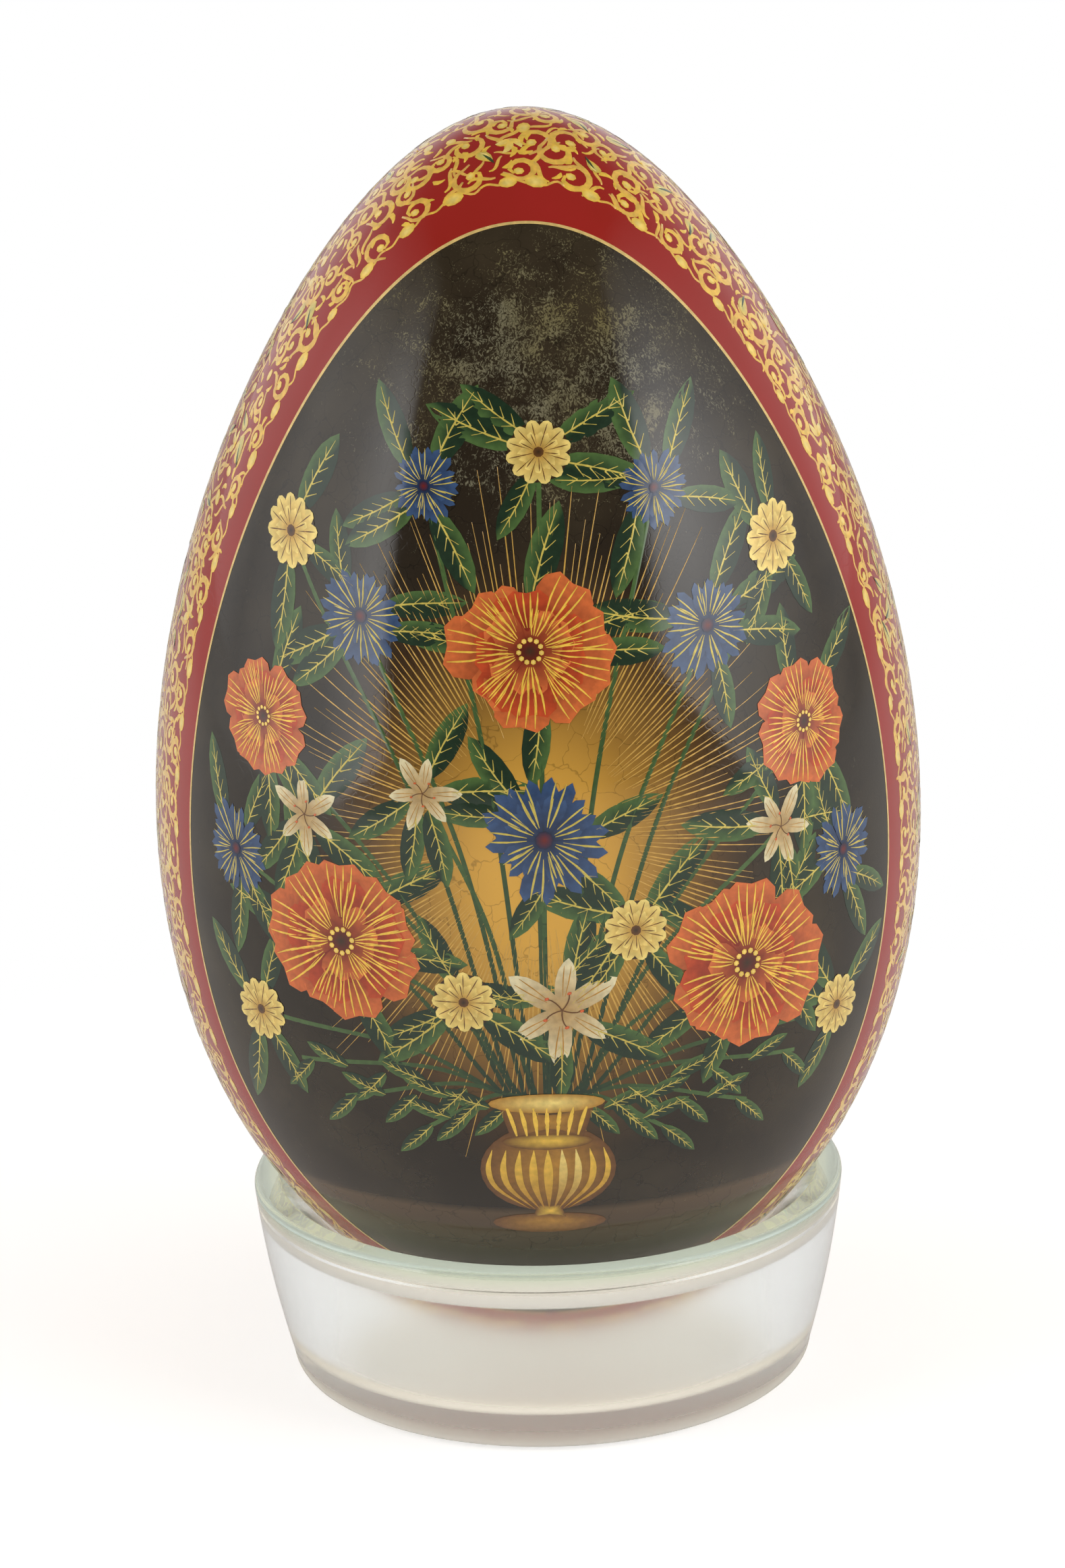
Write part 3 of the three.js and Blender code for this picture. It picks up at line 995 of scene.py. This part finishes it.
def inside_panel(tree, in_mm):
    """1 on the panel and 0 on the red: the plane that cuts the panel's outline out of the egg."""
    reach = add_node(tree, "ShaderNodeVectorMath", {
        0: in_mm, 1: (0, -1, PANEL_TILT)}, operation="DOT_PRODUCT").outputs["Value"]
    plane = (PANEL_DEPTH + PANEL_TILT * EGG_BASE) / MM
    return add_node(tree, "ShaderNodeMapRange", {
        "Value": reach, "From Min": plane - PANEL_EDGE, "From Max": plane + PANEL_EDGE}).outputs[0]


def oval_reach(tree, in_mm, middle, radii):
    """How far a place lies from an oval's middle on the panel: 1 at the oval's edge."""
    across, up = middle[0], middle[1] + EGG_BASE / MM
    oval_place = add_node(tree, "ShaderNodeMapping", {
        "Vector": in_mm, "Location": (-across / radii[0], 0, -up / radii[1]),
        "Scale": (1 / radii[0], 0, 1 / radii[1])}, vector_type="POINT").outputs[0]
    return add_node(tree, "ShaderNodeVectorMath", {0: oval_place}, operation="LENGTH").outputs["Value"]


def red_lacquer(tree, in_mm):
    """Red, a little uneven over some 9 mm."""
    cloud = add_node(tree, "ShaderNodeTexNoise", {
        "Vector": in_mm, "Scale": 1 / 9, "Detail": 3.0}).outputs[0]
    return add_node(tree, "ShaderNodeMix", {
        "Factor": cloud, 6: colour("#A02824"), 7: colour("#93271C")}, data_type="RGBA").outputs[2]


def umber_clouds(tree, in_mm):
    """Clouds of some 14 mm in which the umber turns a paler brown."""
    drift = add_node(tree, "ShaderNodeTexNoise", {
        "Vector": in_mm, "Scale": 1 / 14, "Detail": 4.0}).outputs[0]
    return add_node(tree, "ShaderNodeMapRange", {
        "Value": drift, "From Min": 0.42, "From Max": 0.68}).outputs[0]


def umber_ground(tree, in_mm, clouds):
    """Umber down to the ledge that the painted vase stands on: stone, pale at its top."""
    umber = add_node(tree, "ShaderNodeMix", {
        "Factor": clouds, 6: colour("#2B2319"), 7: colour("#3D3426")}, data_type="RGBA").outputs[2]
    height = add_node(tree, "ShaderNodeSeparateXYZ", {0: in_mm}).outputs["Z"]
    foot = EGG_BASE / MM + LEDGE_FOOT
    top = EGG_BASE / MM + LEDGE_TOP
    ledge = add_node(tree, "ShaderNodeMapRange", {
        "Value": height, "From Min": top + LEDGE_EDGE, "From Max": top - LEDGE_EDGE}).outputs[0]
    stone_level = add_node(tree, "ShaderNodeMapRange", {
        "Value": height, "From Min": foot, "From Max": top}).outputs[0]
    stone = add_node(tree, "ShaderNodeMix", {
        "Factor": stone_level, 6: colour("#1E1811"), 7: colour("#5B4935")}, data_type="RGBA").outputs[2]
    return add_node(tree, "ShaderNodeMix", {
        "Factor": ledge, 6: umber, 7: stone}, data_type="RGBA").outputs[2]


def glowing(tree, in_mm, ground):
    """The ground with the glow behind the bouquet, brightest in its middle."""
    reach = oval_reach(tree, in_mm, GLOW_MIDDLE, GLOW_RADII)
    glow = add_node(tree, "ShaderNodeMapRange", {
        "Value": reach, "From Min": 1.0, "From Max": 0.15}, interpolation_type="SMOOTHSTEP").outputs[0]
    glow_colour = add_node(tree, "ShaderNodeMix", {
        "Factor": glow, 6: colour("#7A4A1C"), 7: colour("#D9A443")}, data_type="RGBA").outputs[2]
    return add_node(tree, "ShaderNodeMix", {
        "Factor": glow, 6: ground, 7: glow_colour}, data_type="RGBA").outputs[2]


def worn(tree, in_mm, clouds, ground):
    """The ground with its wear above the bouquet, where fibres of some 0.6 by 1 mm, and finer ones,
    show through in patches of some 4 mm."""
    fibre_place = add_node(tree, "ShaderNodeVectorMath", {
        0: in_mm, 1: (1, 1, 0.6)}, operation="MULTIPLY").outputs[0]
    fibres = add_node(tree, "ShaderNodeTexNoise", {
        "Vector": fibre_place, "Scale": 1.7, "Detail": 3.0, "Roughness": 0.65,
        "Distortion": 2.6}).outputs[0]
    patches = add_node(tree, "ShaderNodeTexNoise", {
        "Vector": in_mm, "Scale": 1 / 4, "Detail": 3.0, "Distortion": 1.0}).outputs[0]
    level = add_node(tree, "ShaderNodeMath", {
        0: patches, 1: 0.5, 2: fibres}, operation="MULTIPLY_ADD").outputs[0]
    reach = oval_reach(tree, in_mm, WEAR_MIDDLE, WEAR_RADII)
    area = add_node(tree, "ShaderNodeMapRange", {
        "Value": reach, "From Min": 1.2, "From Max": 0.15}, interpolation_type="SMOOTHSTEP").outputs[0]
    bound = add_node(tree, "ShaderNodeMapRange", {
        "Value": area, "To Min": 0.98, "To Max": 0.75}).outputs[0]
    over = add_node(tree, "ShaderNodeMath", {0: level, 1: bound}, operation="SUBTRACT").outputs[0]
    wear = add_node(tree, "ShaderNodeMapRange", {
        "Value": over, "From Min": 0.0, "From Max": 0.12, "To Max": 0.84}).outputs[0]
    fibre_colour = add_node(tree, "ShaderNodeMix", {
        "Factor": clouds, 6: colour("#7E7962"), 7: colour("#7A7049")}, data_type="RGBA").outputs[2]
    return add_node(tree, "ShaderNodeMix", {
        "Factor": wear, 6: ground, 7: fibre_colour}, data_type="RGBA").outputs[2]


def aged(tree, in_mm, ground):
    """The ground with age cracks in it, dark lines round plates of some 4 mm."""
    sway = add_node(tree, "ShaderNodeTexNoise", {
        "Vector": in_mm, "Scale": 0.5, "Detail": 2.0}).outputs[1]
    swayed = add_node(tree, "ShaderNodeVectorMath", {
        0: sway, 1: (2.5, 2.5, 2.5), 2: in_mm}, operation="MULTIPLY_ADD").outputs[0]
    plates = add_node(tree, "ShaderNodeTexVoronoi", {
        "Vector": swayed, "Scale": 1 / 4}, feature="DISTANCE_TO_EDGE").outputs[0]
    split = add_node(tree, "ShaderNodeMapRange", {
        "Value": plates, "From Min": 0.0, "From Max": 0.018, "To Min": 0.6}).outputs[0]
    return add_node(tree, "ShaderNodeVectorMath", {
        0: ground, "Scale": split}, operation="SCALE").outputs[0]


def crazing(tree, in_mm):
    """Relief of the crazed varnish: cells of some 1.6 mm, drawn a little coarser than they are."""
    wobble = add_node(tree, "ShaderNodeTexNoise", {
        "Vector": in_mm, "Scale": 1.1, "Detail": 1.0}).outputs[1]
    shaken = add_node(tree, "ShaderNodeVectorMath", {
        0: wobble, 1: (0.7, 0.7, 0.7), 2: in_mm}, operation="MULTIPLY_ADD").outputs[0]
    cells = add_node(tree, "ShaderNodeTexVoronoi", {
        "Vector": shaken, "Scale": 1 / 1.6}, feature="DISTANCE_TO_EDGE").outputs[0]
    cracks = add_node(tree, "ShaderNodeMapRange", {
        "Value": cells, "From Min": 0.0, "From Max": 0.05}).outputs[0]
    return add_node(tree, "ShaderNodeBump", {
        "Height": cracks, "Strength": 0.12, "Distance": 0.02 * MM}).outputs[0]


def make_lacquer():
    """Red and umber oil lacquer on papier-mache, rubbed down and varnished: deep, glossy, crazed."""
    material, tree = new_material("polished oil lacquer")
    in_mm = place_in_mm(tree)
    clouds = umber_clouds(tree, in_mm)
    lit = glowing(tree, in_mm, umber_ground(tree, in_mm, clouds))
    panel = aged(tree, in_mm, worn(tree, in_mm, clouds, lit))
    ground = add_node(tree, "ShaderNodeMix", {
        "Factor": inside_panel(tree, in_mm), 6: red_lacquer(tree, in_mm), 7: panel},
        data_type="RGBA").outputs[2]
    coat = add_node(tree, "ShaderNodeBsdfPrincipled", {
        "Base Color": ground, "Roughness": 0.5, "Specular IOR Level": 0.0,
        "Coat Weight": 1.0, "Coat Roughness": 0.08, "Coat IOR": 1.5,
        "Coat Normal": crazing(tree, in_mm)})
    add_node(tree, "ShaderNodeOutputMaterial", {"Surface": coat.outputs[0]})
    return material


def make_paint():
    """Tempera and powdered gold under varnish: opaque colour, the gold with a soft metal sheen."""
    material, tree = new_material("tempera and powdered gold")
    pigment = add_node(tree, "ShaderNodeVertexColor", layer_name="pigment").outputs
    grain = add_node(tree, "ShaderNodeTexNoise", {
        "Vector": place_in_mm(tree), "Scale": 1.2, "Detail": 3.0}).outputs[0]
    level = add_node(tree, "ShaderNodeMapRange", {
        "Value": grain, "From Min": 0.3, "From Max": 0.7, "To Min": 0.8, "To Max": 1.1}).outputs[0]
    mottled = add_node(tree, "ShaderNodeVectorMath", {
        0: pigment["Color"], "Scale": level}, operation="SCALE").outputs[0]
    metal = add_node(tree, "ShaderNodeMath", {
        0: pigment["Alpha"], 1: 0.18}, operation="MULTIPLY").outputs[0]
    coat = add_node(tree, "ShaderNodeBsdfPrincipled", {
        "Base Color": mottled, "Metallic": metal, "Roughness": 0.42, "Specular IOR Level": 0.1,
        "Coat Weight": 1.0, "Coat Roughness": 0.08, "Coat IOR": 1.5})
    add_node(tree, "ShaderNodeOutputMaterial", {"Surface": coat.outputs[0]})
    return material


def make_glass():
    """Pressed soda-lime glass, thick and faintly green: fire-polished outside, dull in the well, where
    the mould left it, and ground under the foot."""
    material, tree = new_material("pressed soda-lime glass")
    place = add_node(tree, "ShaderNodeTexCoord").outputs["Object"]
    height = add_node(tree, "ShaderNodeSeparateXYZ", {0: place}).outputs["Z"]
    rim = add_node(tree, "ShaderNodeMapRange", {
        "Value": height, "From Min": DISH_HEIGHT - RIM_TINT_START,
        "From Max": DISH_HEIGHT - RIM_TINT_END}).outputs[0]
    flat = add_node(tree, "ShaderNodeVectorMath", {
        0: place, 1: (1, 1, 0)}, operation="MULTIPLY").outputs[0]
    reach = add_node(tree, "ShaderNodeVectorMath", {0: flat}, operation="LENGTH").outputs["Value"]
    tint = add_node(tree, "ShaderNodeMix", {
        "Factor": rim, 6: colour("#FDFEFC"), 7: colour("#BFD7C4")}, data_type="RGBA").outputs[2]
    dull = add_node(tree, "ShaderNodeMapRange", {
        "Value": reach, "From Min": SEAT_RADIUS + 1 * MM, "From Max": SEAT_RADIUS - 1 * MM,
        "To Min": 0.12, "To Max": 0.36}).outputs[0]
    above_foot = add_node(tree, "ShaderNodeMapRange", {
        "Value": height, "From Min": FOOT_HOLLOW, "From Max": WELL_FLOOR}).outputs[0]
    body_level = add_node(tree, "ShaderNodeMix", {
        "Factor": above_foot, "A": 0.6, "B": dull}, data_type="FLOAT").outputs[0]
    clear = add_node(tree, "ShaderNodeMix", {
        "Factor": rim, "A": body_level, "B": 0.03}, data_type="FLOAT").outputs[0]
    body = add_node(tree, "ShaderNodeBsdfPrincipled", {
        "Base Color": tint, "Roughness": clear, "IOR": 1.51, "Transmission Weight": 1.0})
    add_node(tree, "ShaderNodeOutputMaterial", {"Surface": body.outputs[0]})
    return material


# Pieces

def egg_curve(start, end, steps, inset=0.0):
    """Points of the egg's outline between two angles, none of them past the axis."""
    points = [egg_outline(a, inset) for a in np.linspace(start, end, steps + 1)]
    return [(max(radius, 0), height) for radius, height in points]


def make_egg_form():
    """The egg's bare outer surface, which the paint is fitted to and which is then deleted."""
    outline = egg_curve(-math.pi / 2, math.pi / 2, EGG_FORM_STEPS)
    return turned("egg_form", outline, EGG_AROUND, None)


def make_shells(lacquer):
    """The two half shells with their painted skin, the wall and the cavity behind it."""
    joint = (LOWER_HIGH[2] + UPPER_LOW[2]) / 2
    level = float(np.interp(joint, OUTLINE_HEIGHTS, OUTLINE_ANGLES))
    bottom = egg_curve(-math.pi / 2, level, LOWER_STEPS)
    bottom += egg_curve(level, -math.pi / 2, LOWER_CAVITY_STEPS, SHELL_WALL)
    top = egg_curve(math.pi / 2, level, UPPER_CAVITY_STEPS, SHELL_WALL)
    top += egg_curve(level, math.pi / 2, UPPER_STEPS)
    for name, outline, node in (("lower_lacquer_shell", bottom, "lower_shell"),
                                ("upper_lacquer_shell", top, "upper_shell")):
        shell = turned(name, outline, EGG_AROUND, lacquer)
        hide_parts(node)
        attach(shell, "egg")


def make_scrollwork(egg, paint):
    """Gold scrollwork over the red outside the plain band, down to some 6 mm above the egg's base, in
    four pieces.
    """
    motifs, numbers = make_scroll_motifs()
    layout = arrange_scrollwork(numbers)
    sectors = (
        ("scrollwork_front_left", lambda p: p[0] < 0 and p[1] < 0),
        ("scrollwork_front_right", lambda p: p[0] >= 0 and p[1] < 0),
        ("scrollwork_back_left", lambda p: p[0] < 0 and p[1] >= 0),
        ("scrollwork_back_right", lambda p: p[0] >= 0 and p[1] >= 0),
    )
    for name, chosen in sectors:
        piece = layout.lay(name, motifs, egg, paint, chosen)
        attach(piece, "egg")
    for motif in list(motifs.objects):
        bpy.data.objects.remove(motif)
    bpy.data.collections.remove(motifs)


def make_panel_painting(paint):
    """The bouquet and the gold line round the panel."""
    for name, work in (("panel_bouquet", make_bouquet()), ("panel_gold_line", make_outline_gilding())):
        piece = work.on_panel(name, paint)
        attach(piece, "egg")


def wall_radius(height):
    """Radius of the dish's slightly bellied outer wall."""
    share = (height - HEEL_ROUND) / (DISH_HEIGHT - RIM_OUTER_ROUND - HEEL_ROUND)
    return FOOT_RADIUS + (RIM_RADIUS - FOOT_RADIUS) * share + 4 * WALL_BULGE * share * (1 - share)


def dish_outline():
    """Outline of the dish, from the middle of its foot round the wall and the rim to the middle of its
    well. A thin mould seam runs round the wall, just under the rim."""
    rim_inner = RIM_RADIUS - RIM_WIDTH
    foot_outer = FOOT_RADIUS - HEEL_ROUND
    foot_inner = foot_outer - FOOT_RING_WIDTH
    hollow_radius = (foot_inner ** 2 + FOOT_HOLLOW ** 2) / (2 * FOOT_HOLLOW)
    hollow_angle = math.degrees(math.asin(foot_inner / hollow_radius))
    seat_height = DISH_HEIGHT - SEAT_DEPTH
    seam = DISH_HEIGHT - MOULD_SEAM_DROP
    over_seam = seam + MOULD_SEAM_HALF
    wall_heights = np.linspace(HEEL_ROUND, seam - MOULD_SEAM_HALF, 14)[1:]
    shoulder = [egg_outline(a, -WELL_CLEARANCE) for a in np.linspace(0, -math.pi / 2, 200)]
    shoulder = [(r, z) for r, z in shoulder if z < seat_height - SEAT_LIP and r > WELL_RADIUS]
    foot = arc((0, FOOT_HOLLOW - hollow_radius), hollow_radius, 90, 90 - hollow_angle, 12)
    return [
        (0, foot[0][1]),
        *foot[1:],
        *arc((foot_outer, HEEL_ROUND), HEEL_ROUND, -90, 0, 10),
        *[(wall_radius(z), z) for z in wall_heights],
        (wall_radius(seam) - MOULD_SEAM_DEPTH, seam),
        (wall_radius(over_seam), over_seam),
        *arc((RIM_RADIUS - RIM_OUTER_ROUND, DISH_HEIGHT - RIM_OUTER_ROUND), RIM_OUTER_ROUND, 0, 90, 8),
        *arc((rim_inner + RIM_INNER_ROUND, DISH_HEIGHT - RIM_INNER_ROUND), RIM_INNER_ROUND, 90, 135, 5),
        (SEAT_RADIUS, seat_height),
        *shoulder[::3],
        *arc((WELL_RADIUS - WELL_ROUND, WELL_FLOOR + WELL_ROUND), WELL_ROUND, 0, -90, 8),
        (0, WELL_FLOOR),
    ]


def make_dish(glass):
    """The glass dish."""
    dish = turned("pressed_glass_dish", dish_outline(), DISH_AROUND, glass, DISH_CREASE)
    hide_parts("glass_dish")
    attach(dish, "stand")


# Studio

def make_camera():
    """Camera that looks at the egg from a little above, rolled as the photograph is."""
    data = bpy.data.cameras.new("camera")
    data.sensor_width = 36
    data.lens = CAMERA_LENS
    camera = link(bpy.data.objects.new("camera", data))
    ahead = Vector((0, math.cos(CAMERA_ELEVATION), -math.sin(CAMERA_ELEVATION)))
    up = Vector((0, math.sin(CAMERA_ELEVATION), math.cos(CAMERA_ELEVATION)))
    right = Vector((1, 0, 0))
    tilted_right = right * math.cos(CAMERA_ROLL) + up * math.sin(CAMERA_ROLL)
    tilted_up = up * math.cos(CAMERA_ROLL) - right * math.sin(CAMERA_ROLL)
    turn = Matrix((tilted_right, tilted_up, -ahead)).transposed().to_4x4()
    camera.matrix_world = Matrix.Translation(CAMERA_AIM - ahead * CAMERA_DISTANCE) @ turn
    bpy.context.scene.camera = camera


def add_profile(tree, place, stops):
    """Brightness along a lamp's width or height, from pairs of place and level."""
    ramp = add_node(tree, "ShaderNodeValToRGB", {0: place})
    for _ in stops[2:]:
        ramp.color_ramp.elements.new(0.5)
    for element, (position, level) in zip(ramp.color_ramp.elements, stops):
        element.position = position
        element.color = (level, level, level, 1)
    return ramp.outputs[0]


def shine(data, inner, outer, outward_profile, upward_profile):
    """Gives a lamp the light whose brightness follows a profile across, from its inner edge to its
    outer, and one upwards."""
    data.use_nodes = True
    tree = data.node_tree
    tree.nodes.clear()
    spot = add_node(tree, "ShaderNodeSeparateXYZ", {
        0: add_node(tree, "ShaderNodeNewGeometry").outputs["Parametric"]}).outputs
    across = add_node(tree, "ShaderNodeMapRange", {
        "Value": spot["X"], "From Min": inner, "From Max": outer}).outputs[0]
    strength = add_node(tree, "ShaderNodeMath", {
        0: add_profile(tree, across, outward_profile), 1: add_profile(tree, spot["Y"], upward_profile)},
        operation="MULTIPLY").outputs[0]
    glow = add_node(tree, "ShaderNodeEmission", {"Strength": strength}).outputs[0]
    add_node(tree, "ShaderNodeOutputLight", {"Surface": glow})


def make_softbox(name, bottom, top, width, power, outward_profile, upward_profile):
    """Upright rectangular lamp at the side, whose inner edge runs from a bottom to a top place."""
    low, high = Vector(bottom), Vector(top)
    upright = (high - low).normalized()
    away = Vector((math.copysign(1, bottom[0]), 0, 0))
    side = upright.cross(away).normalized()
    outward = side if side.y > 0 else -side
    inner, outer = (1.0, 0.0) if side.y < 0 else (0.0, 1.0)
    data = bpy.data.lights.new(name, "AREA")
    data.shape = "RECTANGLE"
    data.size = width
    data.size_y = (high - low).length
    data.energy = power
    shine(data, inner, outer, outward_profile, upward_profile)
    lamp = link(bpy.data.objects.new(name, data))
    turn = Matrix((side, upright, away)).transposed().to_4x4()
    lamp.matrix_world = Matrix.Translation((low + high + outward * width) / 2) @ turn
    lamp.visible_camera = False


def make_world():
    """White surroundings, dimmer in front and overhead where the lacquer mirrors them."""
    world = bpy.data.worlds.new("studio")
    bpy.context.scene.world = world
    world.use_nodes = True
    tree = world.node_tree
    tree.nodes.clear()
    way = add_node(tree, "ShaderNodeTexCoord").outputs["Generated"]
    axes = add_node(tree, "ShaderNodeSeparateXYZ", {0: way}).outputs
    behind = add_node(tree, "ShaderNodeMapRange", {
        "Value": axes["Y"], "From Min": -0.15, "From Max": 0.9, "To Min": 0.08, "To Max": 0.9},
        interpolation_type="SMOOTHSTEP").outputs[0]
    overhead = add_node(tree, "ShaderNodeMapRange", {
        "Value": axes["Z"], "From Min": 0.3, "From Max": 0.75, "To Min": 1.0, "To Max": 0.15},
        interpolation_type="SMOOTHSTEP").outputs[0]
    mirrored = add_node(tree, "ShaderNodeMath", {
        0: behind, 1: overhead}, operation="MULTIPLY").outputs[0]
    path = add_node(tree, "ShaderNodeLightPath").outputs
    around = add_node(tree, "ShaderNodeMix", {
        "Factor": path["Is Glossy Ray"], "A": 0.5, "B": mirrored}, data_type="FLOAT").outputs[0]
    clear = add_node(tree, "ShaderNodeMath", {
        0: path["Is Camera Ray"], 1: path["Is Transmission Ray"]}, operation="MAXIMUM").outputs[0]
    strength = add_node(tree, "ShaderNodeMath", {0: around, 1: clear}, operation="MAXIMUM").outputs[0]
    light = add_node(tree, "ShaderNodeBackground", {
        "Color": colour("#FFFFFF"), "Strength": strength}).outputs[0]
    add_node(tree, "ShaderNodeOutputWorld", {"Surface": light})


def make_studio():
    """Two tall softboxes in white surroundings, with the picture's tones left plain."""
    bpy.context.scene.view_settings.view_transform = "Standard"
    make_softbox("left softbox", *LEFT_SOFTBOX, LEFT_OUTWARDS, LEFT_UPWARDS)
    make_softbox("right softbox", *RIGHT_SOFTBOX, RIGHT_OUTWARDS, RIGHT_UPWARDS)
    make_world()


def make_floor_card():
    """White card: it takes the object's shadow and fades into the white surroundings, and the glass
    shows it white too, with a painted shade, a little darker and warmer, under the foot."""
    material, tree = new_material("white card floor")
    place = add_node(tree, "ShaderNodeTexCoord").outputs["Object"]
    reach = add_node(tree, "ShaderNodeVectorMath", {0: place}, operation="LENGTH").outputs["Value"]
    far = add_node(tree, "ShaderNodeMapRange", {
        "Value": reach, "From Min": FADE_START, "From Max": FADE_END},
        interpolation_type="SMOOTHSTEP").outputs[0]
    # Painted shade: within the foot's ring, the card that the glass shows is a little darker and warmer
    under = add_node(tree, "ShaderNodeMapRange", {
        "Value": reach, "From Min": RIM_RADIUS, "From Max": 0.9 * FOOT_RADIUS}).outputs[0]
    card = add_node(tree, "ShaderNodeBsdfDiffuse", {"Color": colour("#F1EFEC")}).outputs[0]
    lift = add_node(tree, "ShaderNodeEmission", {
        "Color": colour("#FFFFFF"), "Strength": 0.46}).outputs[0]
    near_card = add_node(tree, "ShaderNodeAddShader", {0: card, 1: lift}).outputs[0]
    white = add_node(tree, "ShaderNodeEmission", {
        "Color": colour("#FFFFFF"), "Strength": 1.0}).outputs[0]
    seen = add_node(tree, "ShaderNodeMixShader", {0: far, 1: near_card, 2: white}).outputs[0]
    painted_shade_under_foot = add_node(tree, "ShaderNodeMix", {
        "Factor": under, 6: colour("#FFFFFF"), 7: colour("#F9F0E0")}, data_type="RGBA").outputs[2]
    through_glass = add_node(tree, "ShaderNodeEmission", {
        "Color": painted_shade_under_foot, "Strength": 1.0}).outputs[0]
    path = add_node(tree, "ShaderNodeLightPath").outputs
    plain = add_node(tree, "ShaderNodeMixShader", {
        0: path["Is Camera Ray"], 1: card, 2: seen}).outputs[0]
    surface = add_node(tree, "ShaderNodeMixShader", {
        0: path["Is Transmission Ray"], 1: plain, 2: through_glass}).outputs[0]
    add_node(tree, "ShaderNodeOutputMaterial", {"Surface": surface})
    return material


def make_floor():
    """Round sheet of card that the object stands on."""
    data = bpy.data.meshes.new("floor")
    floor = link(bpy.data.objects.new("floor", data))
    ground = bmesh.new()
    bmesh.ops.create_circle(ground, cap_ends=True, radius=FLOOR_RADIUS, segments=64)
    ground.to_mesh(data)
    ground.free()
    data.materials.append(make_floor_card())


make_camera()
make_studio()
make_floor()
make_shells(make_lacquer())
paint = make_paint()
egg_form = make_egg_form()
make_scrollwork(egg_form, paint)
bpy.data.objects.remove(egg_form)
make_panel_painting(paint)
make_dish(make_glass())
